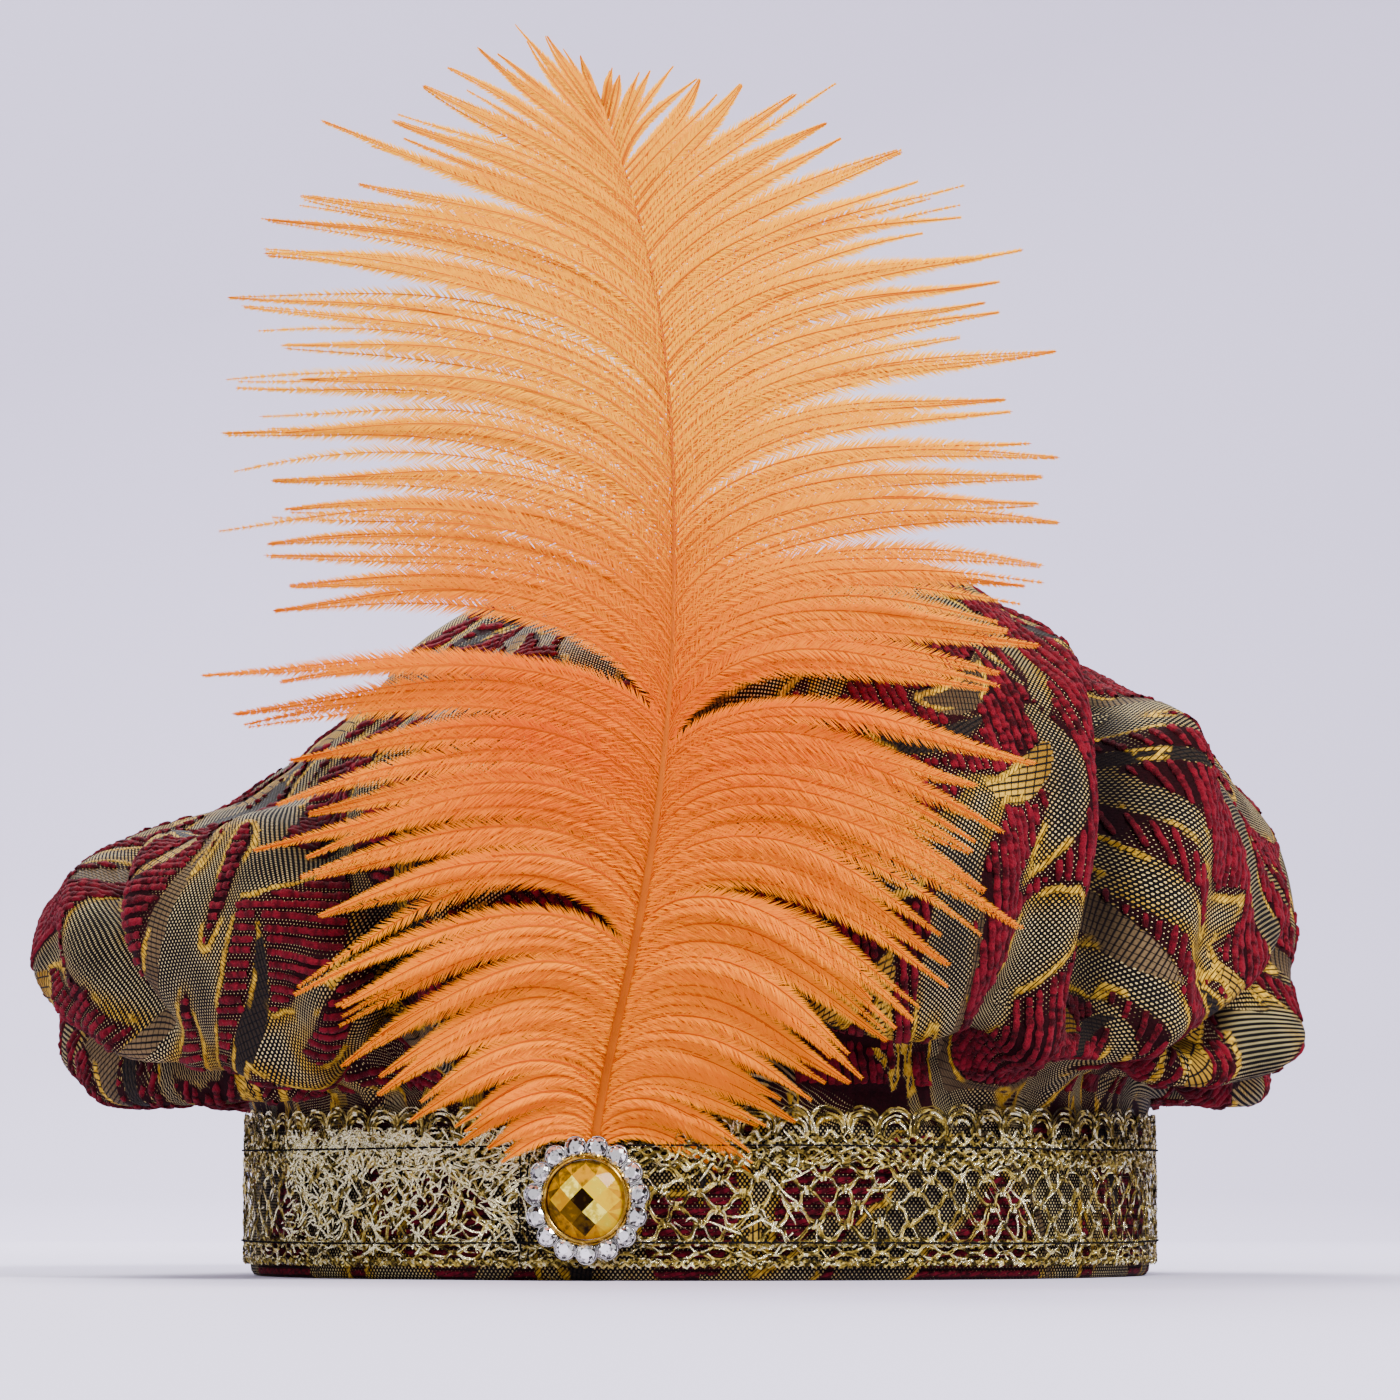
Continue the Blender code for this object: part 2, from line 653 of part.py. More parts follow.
def main():
    clear_scene()
    hat = collection("feather_hat")
    cutters = collection("cutters")
    brocade = material("brocade", (0.23, 0.035, 0.04), 0.85)
    band_cloth = material("band_brocade", (0.16, 0.05, 0.04), 0.85)
    gold = material("gold_lace", (0.62, 0.50, 0.24), 0.35, 0.9)
    metal = material("setting_metal", (0.78, 0.76, 0.70), 0.25, 1.0)
    crystal = material("crystal", (0.86, 0.88, 0.90), 0.08)
    amber = material("amber_glass", (0.90, 0.55, 0.06), 0.08)
    orange = material("dyed_plume", (0.95, 0.36, 0.06), 0.75)
    make_crown(hat, brocade)
    make_headband(hat, band_cloth)
    make_lace(hat, gold)
    make_brooch(hat, cutters, metal, crystal, amber)
    make_plume(hat, orange)


main()
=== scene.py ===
# %% [markdown]
# # A soft brocade hat with a plume, made from curves and tables
#
# This is a stage hat of the kind worn with renaissance costume: a large round of brocade gathered into a
# headband, a strip of metallic lace sewn over the band, and a jewelled brooch that holds an ostrich plume.
# Every piece here is a surface worked out with numpy, in millimetres, and put into Blender as one mesh.
# The hat stands on its headband, its front faces -Y, and azimuth 0 is the front, positive towards +X.

import math

import bpy
import numpy as np
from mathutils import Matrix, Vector


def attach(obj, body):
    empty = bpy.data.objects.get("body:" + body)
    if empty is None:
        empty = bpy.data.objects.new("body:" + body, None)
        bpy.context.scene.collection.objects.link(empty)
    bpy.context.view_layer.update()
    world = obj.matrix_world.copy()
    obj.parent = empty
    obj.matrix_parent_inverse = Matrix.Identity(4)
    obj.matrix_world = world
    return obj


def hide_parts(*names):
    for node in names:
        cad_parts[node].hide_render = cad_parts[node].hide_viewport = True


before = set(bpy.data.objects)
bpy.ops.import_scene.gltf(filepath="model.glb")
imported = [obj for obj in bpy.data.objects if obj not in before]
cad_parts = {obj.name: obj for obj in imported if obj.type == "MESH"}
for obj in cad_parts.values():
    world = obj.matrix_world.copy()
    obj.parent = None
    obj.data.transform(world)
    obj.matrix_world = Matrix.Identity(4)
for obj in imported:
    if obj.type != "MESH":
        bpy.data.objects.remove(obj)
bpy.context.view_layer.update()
MM = 0.001


# %% [markdown]
# ## From arrays to meshes
#
# A grid of points is all that a cloth, a thread or a tube needs. One helper takes points in millimetres and
# rows of corner numbers, and fills a mesh with whole arrays. Values that a finish needs, such as how far a
# point of cloth lies inside a woven figure, go in as attributes beside the points.


# %% Mesh helpers
def piece_from(name, points, quads, finish, tris=(), values=None, cloth=None, period=0.0, smooth=True):
    """One mesh object at the origin from points in mm and corner numbers. values are named numbers for each
    point. cloth is each point's place on the flat cloth in mm, which starts again after each period."""
    quads = np.asarray(quads, np.int32).reshape(-1, 4)
    tris = np.asarray(tris, np.int32).reshape(-1, 3)
    corners = np.concatenate([quads.ravel(), tris.ravel()])
    starts = np.concatenate([np.arange(len(quads)) * 4, len(quads) * 4 + np.arange(len(tris)) * 3])
    mesh = bpy.data.meshes.new(name)
    mesh.vertices.add(len(points))
    mesh.vertices.foreach_set("co", (np.asarray(points, np.float32) * MM).ravel())
    mesh.loops.add(len(corners))
    mesh.loops.foreach_set("vertex_index", corners)
    mesh.polygons.add(len(starts))
    mesh.polygons.foreach_set("loop_start", starts.astype(np.int32))
    mesh.update(calc_edges=True)
    for key, numbers in (values or {}).items():
        mesh.attributes.new(key, "FLOAT", "POINT").data.foreach_set("value", np.asarray(numbers, np.float32))
    if cloth is not None:
        places = np.asarray(cloth, np.float32)[corners]
        if period:
            first = places[np.repeat(starts, np.diff(np.append(starts, len(corners)))), 0]
            places[:, 0] -= period * np.round((places[:, 0] - first) / period)
        mesh.uv_layers.new(name="cloth").data.foreach_set("uv", places.ravel())
    if smooth:
        mesh.shade_smooth()
    mesh.materials.append(finish.material)
    piece = bpy.data.objects.new(name, mesh)
    bpy.context.scene.collection.objects.link(piece)
    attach(piece, "root")
    print(name, "triangles", 2 * len(quads) + len(tris))
    return piece


def grid_quads(rows, columns, closed=True):
    """Corner numbers of a grid of rows by columns, whose last column joins its first where it is closed."""
    numbers = np.arange(rows * columns).reshape(rows, columns)
    after = np.roll(numbers, -1, axis=1)
    if not closed:
        numbers, after = numbers[:, :-1], after[:, :-1]
    return np.stack([numbers[:-1], after[:-1], after[1:], numbers[1:]], axis=-1).reshape(-1, 4)


def soft_step(x, low, high):
    """0 below low, 1 above high, and between them the S curve 3t^2 - 2t^3."""
    t = np.clip((x - low) / (high - low), 0, 1)
    return t * t * (3 - 2 * t)


def waves(points, length, seed, count=14):
    """Smooth random relief from -1 to 1 or so: the sum of sines whose directions and phases come from the
    seed, and whose wavelengths lie round the given length."""
    random = np.random.default_rng(seed)
    way = random.normal(size=(count, points.shape[1]))
    way /= np.linalg.norm(way, axis=1)[:, None]
    number = 2 * math.pi / (length * random.uniform(0.75, 1.35, count))
    turn = random.uniform(0, 2 * math.pi, count)
    return np.sin(points @ (way * number[:, None]).T + turn).sum(axis=1) * math.sqrt(2 / count) / 2


def unit(vectors):
    """Each vector divided by its own length."""
    return vectors / np.maximum(np.linalg.norm(vectors, axis=-1, keepdims=True), 1e-9)


def tubes(lines, radii, sides, flat=1.0):
    """Round threads along lines of points, one line to a row. At each point a ring of corners lies square to
    the line: the radius times the cosine of its angle sideways, and the sine, times flat, outwards."""
    count, steps, _ = lines.shape
    along = unit(np.gradient(lines, axis=1))
    outward = np.zeros_like(lines)
    outward[..., 0], outward[..., 1] = lines[..., 0], lines[..., 1]
    outward = unit(outward - (outward * along).sum(axis=-1, keepdims=True) * along)
    sideways = np.cross(along, outward)
    angle = 2 * math.pi * np.arange(sides) / sides
    ring = (
        np.cos(angle)[None, None, :, None] * sideways[:, :, None]
        + flat * np.sin(angle)[None, None, :, None] * outward[:, :, None]
    )
    points = lines[:, :, None] + ring * radii[:, :, None, None]
    one = grid_quads(steps, sides)[:, ::-1]
    quads = (one[None] + np.arange(count)[:, None, None] * steps * sides).reshape(-1, 4)
    return points.reshape(-1, 3), quads


# %% [markdown]
# ## Finishes as small sums
#
# A finish is a graph of nodes, but most of the graph is plain arithmetic on masks. A small class wraps a
# socket and gives it + - * /, so that a mask reads like the sum that it is. Everything that isn't
# arithmetic, such as a noise or a ramp, comes from one method that takes a node's type and settings.


# %% A socket that can be added and multiplied
class Value:
    """A socket of a finish. Arithmetic on it adds Math nodes."""

    def __init__(self, finish, socket):
        self.finish = finish
        self.socket = socket

    def math(self, operation, *values):
        """One Math node with the given operation on the given values."""
        return self.finish.node("ShaderNodeMath", {"operation": operation}, dict(enumerate(values)))

    def __add__(self, other):
        return self.math("ADD", self, other)

    def __sub__(self, other):
        return self.math("SUBTRACT", self, other)

    def __rsub__(self, other):
        return self.math("SUBTRACT", other, self)

    def __mul__(self, other):
        return self.math("MULTIPLY", self, other)

    def __truediv__(self, other):
        return self.math("DIVIDE", self, other)

    __radd__ = __add__
    __rmul__ = __mul__

    def between(self, low, high):
        """0 up to low, 1 from high on, and a smooth S between them."""
        limits = {0: self, 1: low, 2: high, 3: 0.0, 4: 1.0}
        return self.finish.node("ShaderNodeMapRange", {"interpolation_type": "SMOOTHSTEP"}, limits)


class Finish:
    """A material whose shader takes plain numbers on its own sockets and masks as links."""

    def __init__(self, name, **shader):
        self.material = bpy.data.materials.new(name)
        self.material.use_nodes = True
        self.nodes = self.material.node_tree.nodes
        self.links = self.material.node_tree.links
        self.shader = self.nodes["Principled BSDF"]
        self.output = self.nodes["Material Output"]
        self.set(**shader)

    def plug(self, socket, value):
        """A socket's value: a link from a mask, a colour of three numbers, or a plain number."""
        if isinstance(value, Value):
            self.links.new(value.socket, socket)
        elif hasattr(value, "__len__") and len(value) == 3 and socket.type == "RGBA":
            socket.default_value = (*value, 1.0)
        else:
            socket.default_value = value

    def set(self, **sockets):
        """Values or masks for the shader's sockets, by name with _ for each space."""
        for name, value in sockets.items():
            self.plug(self.shader.inputs[name.replace("_", " ")], value)

    def node(self, kind, settings=None, values=None, output=0):
        """Any node: its type, its settings, which are set first, the values or links of its sockets by name
        or number, and the output that is wanted."""
        made = self.nodes.new(kind)
        for key, value in (settings or {}).items():
            setattr(made, key, value)
        for key, value in (values or {}).items():
            self.plug(made.inputs[key], value)
        return Value(self, made.outputs[output])

    def attribute(self, name):
        """A value that the mesh carries at each point."""
        return self.node("ShaderNodeAttribute", {"attribute_name": name}, output="Fac")

    def place(self, scale=1.0):
        """The place in the hat, in metres times the scale."""
        where = self.node("ShaderNodeTexCoord", output="Object")
        return self.node("ShaderNodeVectorMath", {"operation": "SCALE"}, {0: where, "Scale": scale})

    def cloth(self):
        """The two places on the flat cloth, in mm."""
        flat = self.node("ShaderNodeUVMap", {"uv_map": "cloth"})
        return [self.node("ShaderNodeSeparateXYZ", values={0: flat}, output=k) for k in (0, 1)]

    def noise(self, vector, scale, detail=2.0, roughness=0.5):
        """Smooth random cloud from 0 to 1, about 0.5 on average."""
        values = {"Vector": vector, "Scale": scale, "Detail": detail, "Roughness": roughness}
        return self.node("ShaderNodeTexNoise", values=values)

    def mix(self, factor, low, high):
        """A colour between low and high."""
        return self.node("ShaderNodeMix", {"data_type": "RGBA"}, {0: factor, 6: low, 7: high}, 2)

    def bump(self, height, distance, strength=1.0):
        """Relief of the shader's normal: a height from 0 to 1 times a distance in metres."""
        values = {"Height": height, "Distance": distance, "Strength": strength}
        return self.node("ShaderNodeBump", values=values)


# %% [markdown]
# ## The gathered crown
#
# A soft hat of this kind starts as a flat round of cloth, almost half a metre across. Its edge is gathered
# until it fits the headband, and the fullness rolls over the band in lobes. Rather than let it fall by
# chance, the form is written as tables: the outline at each azimuth, the valleys between the lobes and the
# lobes themselves. Fine pleats and soft waves go on top.

# %% The crown's tables, in mm and degrees
BAND_R = 95.7
RIM_Z = 30.3
COLLAR_Z = 35.8
TOP_Z = 147.0
LOWEST_ROLL = 35.0
SECTION_KNOTS = (0.0, 0.022, 0.062, 0.13, 0.21, 0.285, 0.39, 0.54, 0.76, 1.0)
CROWN_SECTIONS = (
    # azimuth, fold_r, fold_z, belly_r, belly_z, shoulder_z
    (-180, 114, 40, 126, 64, 114),
    (-140, 116, 39, 130, 66, 112),
    (-100, 118, 38, 135, 68, 104),
    (-70, 119, 39, 137, 70, 102),
    (-42, 115, 41, 132, 73, 108),
    (-20, 102, 47, 121, 84, 130),
    (0, 101, 49, 119, 88, 139),
    (25, 108, 45, 121, 86, 139),
    (50, 116, 42, 124, 82, 134),
    (80, 117, 39, 124, 76, 118),
    (115, 117, 38, 127, 70, 116),
    (150, 115, 39, 126, 66, 115),
)
CROWN_FOLDS = (
    # name, from_az, from_s, via_az, via_s, to_az, to_s, depth, width
    ("right_dome_valley", 62, 0.52, 38, 0.34, 42, 0.11, 17.0, 8.5),
    ("right_roll_upper", 48, 0.09, 56, 0.15, 84, 0.31, 13.0, 6.5),
    ("right_roll_middle", 54, 0.06, 66, 0.12, 86, 0.19, 10.0, 5.0),
    ("right_roll_lower", 50, 0.045, 72, 0.055, 92, 0.12, 9.0, 5.0),
    ("dome_crease", 32, 0.31, 36, 0.20, 26, 0.09, 8.0, 6.0),
    ("dome_underside", -6, 0.12, 14, 0.082, 38, 0.115, 7.0, 4.6),
    ("left_lobe_crest", -44, 0.46, -37, 0.34, -31, 0.24, 10.0, 8.0),
    ("left_lobe_side", -30, 0.28, -28, 0.18, -38, 0.07, 15.0, 6.5),
    ("left_overhang", -38, 0.075, -62, 0.12, -88, 0.26, 16.0, 6.5),
    ("left_roll", -76, 0.44, -58, 0.30, -54, 0.16, 10.0, 7.0),
    ("left_low_roll", -62, 0.06, -80, 0.09, -104, 0.13, 10.0, 5.5),
    ("left_back_valley", -112, 0.62, -100, 0.38, -110, 0.13, 15.0, 8.0),
    ("back_left_valley", -150, 0.60, -138, 0.36, -147, 0.12, 15.0, 8.0),
    ("back_valley", 178, 0.55, 184, 0.33, 174, 0.10, 14.0, 7.5),
    ("back_right_valley", 146, 0.64, 156, 0.40, 145, 0.12, 16.0, 8.0),
    ("right_back_valley", 112, 0.56, 104, 0.36, 112, 0.12, 14.0, 7.5),
    ("back_roll_left", -118, 0.08, -130, 0.11, -146, 0.07, 9.0, 5.5),
    ("back_roll_right", 120, 0.07, 134, 0.11, 150, 0.08, 9.0, 5.5),
    ("top_dent", -30, 0.74, 20, 0.66, 70, 0.78, 4.5, 12.0),
    ("top_back_dent", 120, 0.72, 175, 0.62, 230, 0.74, 5.0, 13.0),
)
CROWN_PUFFS = (
    # azimuth, share_up, size, rise
    (-50, 0.25, 22, 5.0),
    (-82, 0.20, 24, 4.0),
    (60, 0.30, 22, 2.5),
    (72, 0.17, 20, 4.0),
    (22, 0.26, 24, 4.5),
    (8, 0.40, 30, 2.5),
    (-26, 0.14, 14, 2.5),
    (-128, 0.25, 24, 5.0),
    (-166, 0.24, 22, 5.0),
    (164, 0.26, 22, 4.5),
    (128, 0.25, 24, 5.0),
    (78, 0.53, 25, 4.0),
    (92, 0.38, 26, 4.5),
    (-62, 0.52, 27, -7.0),
    (-84, 0.36, 24, 3.0),
)


# %% The crown as a function of azimuth and share of the way up
def spline_weights(x, knots):
    """Weights of a table's rows in the smooth cubic curve through them, one line for each x. The slope at a
    row is the mean slope of its two neighbours."""
    knots = np.asarray(knots, float)
    eye = np.eye(len(knots))
    slope = np.gradient(eye, knots, axis=0)
    i = np.clip(np.searchsorted(knots, x) - 1, 0, len(knots) - 2)
    step = (knots[i + 1] - knots[i])[:, None]
    t = (np.asarray(x, float)[:, None] - knots[i][:, None]) / step
    rise = t * t * (3 - 2 * t)
    ends = (1 - rise) * eye[i] + rise * eye[i + 1]
    return ends + t * (1 - t) ** 2 * step * slope[i] + t * t * (t - 1) * step * slope[i + 1]


def crown_outline(azimuth, share):
    """The crown without folds: at each azimuth a section runs from the band over the lowest roll, the belly
    and the shoulder to the top, as a smooth curve through ten table points."""
    rows = np.array(CROWN_SECTIONS, float)
    rows = np.concatenate([rows[-2:], rows, rows[:2]])
    rows[:2, 0] -= 360
    rows[-2:, 0] += 360
    turned = (np.asarray(azimuth, float) + 180) % 360 - 180
    fold_r, fold_z, belly_r, belly_z, shoulder_z = (spline_weights(turned, rows[:, 0]) @ rows[:, 1:]).T
    same = np.ones_like(fold_r)
    radius = [BAND_R * same, BAND_R * same, BAND_R + 0.25 * (fold_r - BAND_R), fold_r]
    radius += [0.75 * belly_r + 0.25 * fold_r, belly_r, 0.93 * belly_r]
    radius += [0.70 * belly_r, 0.36 * belly_r, 0 * same]
    height = [RIM_Z * same, COLLAR_Z * same, fold_z - 1, fold_z, fold_z + 0.42 * (belly_z - fold_z), belly_z]
    height += [belly_z + 0.55 * (shoulder_z - belly_z), shoulder_z, shoulder_z + 0.88 * (TOP_Z - shoulder_z)]
    height += [TOP_Z * same]
    weights = spline_weights(share, SECTION_KNOTS)
    r = (weights * np.stack(radius, axis=1)).sum(axis=1)
    z = (weights * np.stack(height, axis=1)).sum(axis=1)
    angle = np.radians(azimuth)
    return np.stack([r * np.sin(angle), -r * np.cos(angle), z], axis=1)


def fold_relief(points):
    """Valleys and puffs: near a bent line the cloth sinks as exp(-(distance/width)^2) and rolls up on both
    sides of it, and round a puff's middle it rises in the same bell curve."""
    relief = np.zeros(len(points))
    for azimuth, share, size, rise in CROWN_PUFFS:
        middle = crown_outline(np.array([azimuth]), np.array([share]))[0]
        relief += rise * np.exp(-((np.linalg.norm(points - middle, axis=1) / size) ** 2))
    t = np.linspace(0, 1, 15)
    bend = np.stack([(1 - t) ** 2, 2 * t * (1 - t), t**2], axis=1)
    for row in CROWN_FOLDS:
        curve = bend @ np.array([row[1:3], row[3:5], row[5:7]], float)
        line = crown_outline(curve[:, 0], curve[:, 1])
        gap, along = np.full(len(points), 1e9), np.zeros(len(points))
        for k in range(len(line) - 1):
            piece = line[k + 1] - line[k]
            at = np.clip((points - line[k]) @ piece / (piece @ piece), 0, 1)
            near = np.linalg.norm(points - line[k] - at[:, None] * piece, axis=1)
            along = np.where(near < gap, (k + at) / (len(line) - 1), along)
            gap = np.minimum(gap, near)
        depth, width = row[7], row[8]
        fade = np.sin(np.pi * np.clip(along, 0.02, 0.98)) ** 0.6
        roll = np.exp(-(((gap - 1.9 * width) / (0.8 * width)) ** 2))
        relief += fade * depth * (0.28 * roll - np.exp(-((gap / width) ** 2)))
    return relief


# %% [markdown]
# ## Pleats
#
# Where the round is gathered, far more cloth goes round than the band has room for, and the extra hides
# in pleats. One phase does both jobs: its crests show the cloth almost unsqueezed, and its valleys sink
# and swallow the rest. The same phase bends the woven pattern, so the figures run into the pleats.

# %% Pleats and the cloth's own coordinates
PLEATS = 27
PLEAT_DEPTH = 4.6
WEFT_TURN = -50.0


def pleat_phase(azimuth):
    """A phase that turns once for each pleat, made uneven by two slow waves."""
    a = np.radians(azimuth)
    return PLEATS * a + 1.1 * np.sin(3 * a + 1.0) + 0.9 * np.sin(5 * a + 2.2) + 0.6 * np.sin(8 * a)


def pleat_pull(share):
    """How strongly the pleats swallow cloth: 0.62 at the band, down to nothing above the belly."""
    return 0.62 * (1 - soft_step(share, 0.02, 0.34))


def pleat_relief(azimuth, share):
    """Valleys where the phase's cosine is 1. They are deepest just above the band, and each climbs to its
    own height."""
    a = np.radians(azimuth)
    reach = 0.20 + 0.10 * np.sin(7 * a + 0.5) + 0.06 * np.sin(13 * a + 1.9)
    depth = PLEAT_DEPTH * (0.72 + 0.28 * np.sin(4 * a + 1.2) * np.sin(9 * a))
    start = soft_step(share, 0.018, 0.075)
    valley = ((1 + np.cos(pleat_phase(azimuth))) / 2) ** 2.2
    return depth * start * (1 - soft_step(share, 0.4 * reach, reach)) * (0.35 - valley)


def crown_surface(azimuth, share):
    """Points of the finished crown, and a painted fold shade for each point, from 0 to 1, which grows where
    it
    lies low in a fold or a pleat: the outline, moved along its normal by the folds, the pleats and soft waves
    of three sizes."""
    points = crown_outline(azimuth, share)
    higher, lower = np.minimum(share + 0.004, 1), np.maximum(share - 0.004, 0)
    up = crown_outline(azimuth, higher) - crown_outline(azimuth, lower)
    around = crown_outline(azimuth + 0.5, share) - crown_outline(azimuth - 0.5, share)
    normal = unit(np.cross(around, up))
    held = np.clip((share - SECTION_KNOTS[1]) / 0.05, 0, 1)
    folds = fold_relief(points)
    pleats = pleat_relief(azimuth, share)
    relief = folds * held + pleats
    loose = soft_step(share, 0.04, 0.14)
    crease = 1 - np.abs(waves(points * (1, 1, 0.7), 34, 5))
    relief += loose * (1.3 * waves(points, 48, 1) + 0.7 * waves(points, 23, 2) + 0.9 * (crease - 0.6))
    points = points + relief[:, None] * normal
    above = share > SECTION_KNOTS[1]
    height = (points[:, 2] - LOWEST_ROLL) / 1.7
    points[:, 2] = np.where(above, LOWEST_ROLL + 1.7 * np.logaddexp(0, height), points[:, 2])
    # Painted shade: the lower a point lies in a fold's or a pleat's valley, the darker its cloth is painted.
    fold_shade = np.maximum(soft_step(-folds, 1.5, 10.0), 0.8 * soft_step(-pleats, 0.3, 2.4))
    return points, fold_shade


# %% A fine grid of the crown, and each point's place on the flat cloth
CROWN_COLUMNS = 480
CROWN_ROWS = 150
crown_azimuth = np.arange(CROWN_COLUMNS) * 360.0 / CROWN_COLUMNS - 180
crown_share = np.linspace(0, 1, CROWN_ROWS + 1)[:-1] ** 1.12
grid_azimuth, grid_share = (m.ravel() for m in np.meshgrid(crown_azimuth, crown_share))
outer, outer_fold_shade = crown_surface(grid_azimuth, grid_share)

ARC_POINTS = 200
ARC_SHARES = np.linspace(0, 1, ARC_POINTS)
section_azimuth = crown_azimuth[::20]
profile = crown_outline(np.repeat(section_azimuth, ARC_POINTS), np.tile(ARC_SHARES, len(section_azimuth)))
steps = np.linalg.norm(np.diff(profile.reshape(-1, ARC_POINTS, 3), axis=1), axis=2).mean(axis=0)
ARC_FROM_TOP = steps.sum() - np.concatenate([[0], np.cumsum(steps)])
print("radius of the flat round, mm:", round(float(ARC_FROM_TOP[0]), 1))


def cloth_places(azimuth, share):
    """A point's place on the flat round: as far from the middle as the section is long, at its azimuth plus
    the pleat's share, turned so that the weft runs the first way."""
    s = np.interp(share, ARC_SHARES, ARC_FROM_TOP)
    angle = np.radians(azimuth) + pleat_pull(share) / PLEATS * np.sin(pleat_phase(azimuth))
    x, y = s * np.sin(angle), -s * np.cos(angle)
    turn = math.radians(WEFT_TURN)
    cosine, sine = math.cos(turn), math.sin(turn)
    return np.stack([x * cosine + y * sine, y * cosine - x * sine], axis=1)


crown_cloth = cloth_places(grid_azimuth, grid_share)

# %% [markdown]
# ## The woven figures
#
# The brocade has a black ground with a lattice of small gold floats. Large curling leaves stand on it in
# burgundy chenille, with ribbed tan bands, bright gold tips and dark swirls beside them. A jacquard loom
# repeats such a drawing, shifted by half in every second column. Here a figure is a stroke: a bent line
# with a width that swells and tapers, and a point's value is how far inside the stroke it lies.

# %% The strokes of one repeat, in mm
REPEAT = (108.0, 136.0)
STROKES = (
    # kind, x0, y0, x1, y1, x2, y2, x3, y3, start, middle, end, lobes
    ("net", -62, -42, -22, -74, 26, -36, 8, 8, 4, 11.5, 6, 0),
    ("net", 8, 6, -4, 36, -44, 34, -36, 4, 6, 8.5, 4, 0),
    ("net", 12, -18, 36, -12, 50, 12, 40, 42, 3, 11, 1, 3),
    ("net", -12, -46, -28, -30, -50, -22, -44, -4, 3, 8.5, 3, 2),
    ("net", 18, -48, 38, -56, 56, -44, 62, -18, 3, 11, 1, 3),
    ("net", -12, 36, -6, 50, 8, 62, 28, 58, 3, 9, 1, 2),
    ("net", -30, 42, -36, 56, -24, 70, -8, 70, 1, 6, 1, 0),
    ("net", -54, 14, -50, 28, -50, 44, -62, 54, 1, 5, 1, 0),
    ("net", 28, 54, 40, 60, 50, 54, 56, 42, 2, 4, 1, 0),
    ("petal", -34, -56, -18, -60, -4, -50, 4, -38, 0.5, 3.6, 0.5, 0),
    ("petal", 12, -30, 17, -18, 14, -6, 9, 2, 0.5, 3.0, 0.5, 0),
    ("petal", 27, -6, 36, 2, 40, 14, 39, 28, 0.5, 3.8, 0.5, 0),
    ("petal", -8, 25, -18, 31, -30, 28, -34, 16, 0.5, 2.8, 0.5, 0),
    ("petal", 32, -50, 42, -50, 52, -40, 57, -28, 0.5, 3.6, 0.5, 0),
    ("petal", -2, 46, 4, 54, 12, 58, 22, 57, 0.5, 2.8, 0.5, 0),
    ("petal", -30, 50, -30, 60, -24, 66, -14, 68, 0.5, 2.2, 0.5, 0),
    ("gold", -38, 4, -36, -6, -24, -4, -25, 7, 1, 4.2, 1.5, 0),
    ("gold", 40, 34, 43, 42, 40, 50, 34, 54, 0.5, 3.4, 0.5, 0),
    ("gold", 58, -24, 64, -14, 64, -4, 57, 2, 0.5, 3.0, 0.5, 0),
    ("gold", -16, -14, -8, -8, -7, 4, -12, 14, 0.5, 2.6, 0.5, 0),
    ("gold", -48, -66, -40, -72, -30, -72, -24, -64, 0.5, 3.0, 0.5, 0),
    ("tan", -54, -38, -20, -62, 12, -32, -2, 10, 0.5, 2.6, 1, 0),
    ("tan", 46, -62, 58, -64, 66, -52, 68, -40, 0.5, 4, 0.5, 0),
    ("tan", 20, 24, 26, 32, 24, 44, 14, 48, 0.5, 3.6, 0.5, 0),
    ("dark", -4, -62, 12, -60, 30, -42, 27, -24, 0.5, 2.8, 0.5, 0),
    ("dark", -46, 34, -40, 42, -38, 54, -44, 62, 0.5, 2.6, 0.5, 0),
    ("dark", 22, 8, 30, 14, 32, 28, 28, 40, 0.5, 2.4, 0.5, 0),
    ("dark", -30, 18, -24, 8, -12, 6, -6, 14, 0.5, 3.0, 0.5, 0),
)
STROKE_STEPS = 12


def stroke_reach(cloth, row):
    """How far each place lies inside one stroke, in mm. A cubic curve through the table's four points is the
    middle line; the half width follows a parabola through its three values, pulled in between the lobes; and
    the reach is the half width less the distance, to the nearest copy in the repeat."""
    knots = np.array(row[1:9], float).reshape(4, 2)
    t = np.linspace(0, 1, STROKE_STEPS + 1)
    line = (
        ((1 - t) ** 3)[:, None] * knots[0]
        + (3 * t * (1 - t) ** 2)[:, None] * knots[1]
        + (3 * t * t * (1 - t))[:, None] * knots[2]
        + (t**3)[:, None] * knots[3]
    )
    start, middle, end, lobes = row[9:]
    half = start * (1 - t) * (1 - 2 * t) + 4 * middle * t * (1 - t) + end * t * (2 * t - 1)
    if lobes:
        half = half * (0.70 + 0.30 * np.abs(np.sin(math.pi * lobes * t)) ** 0.5)
    centre = line.mean(axis=0)
    x, y = (cloth - centre).T
    column = np.round(x / REPEAT[0])
    x = x - column * REPEAT[0] + centre[0]
    y = y - column * REPEAT[1] / 2
    y = y - REPEAT[1] * np.round(y / REPEAT[1]) + centre[1]
    reach = np.full(len(cloth), -1e9)
    for k in range(STROKE_STEPS):
        piece = line[k + 1] - line[k]
        at = np.clip(((x - line[k, 0]) * piece[0] + (y - line[k, 1]) * piece[1]) / (piece @ piece), 0, 1)
        gap = np.hypot(x - line[k, 0] - at * piece[0], y - line[k, 1] - at * piece[1])
        reach = np.maximum(reach, half[k] + at * (half[k + 1] - half[k]) - gap)
    return reach


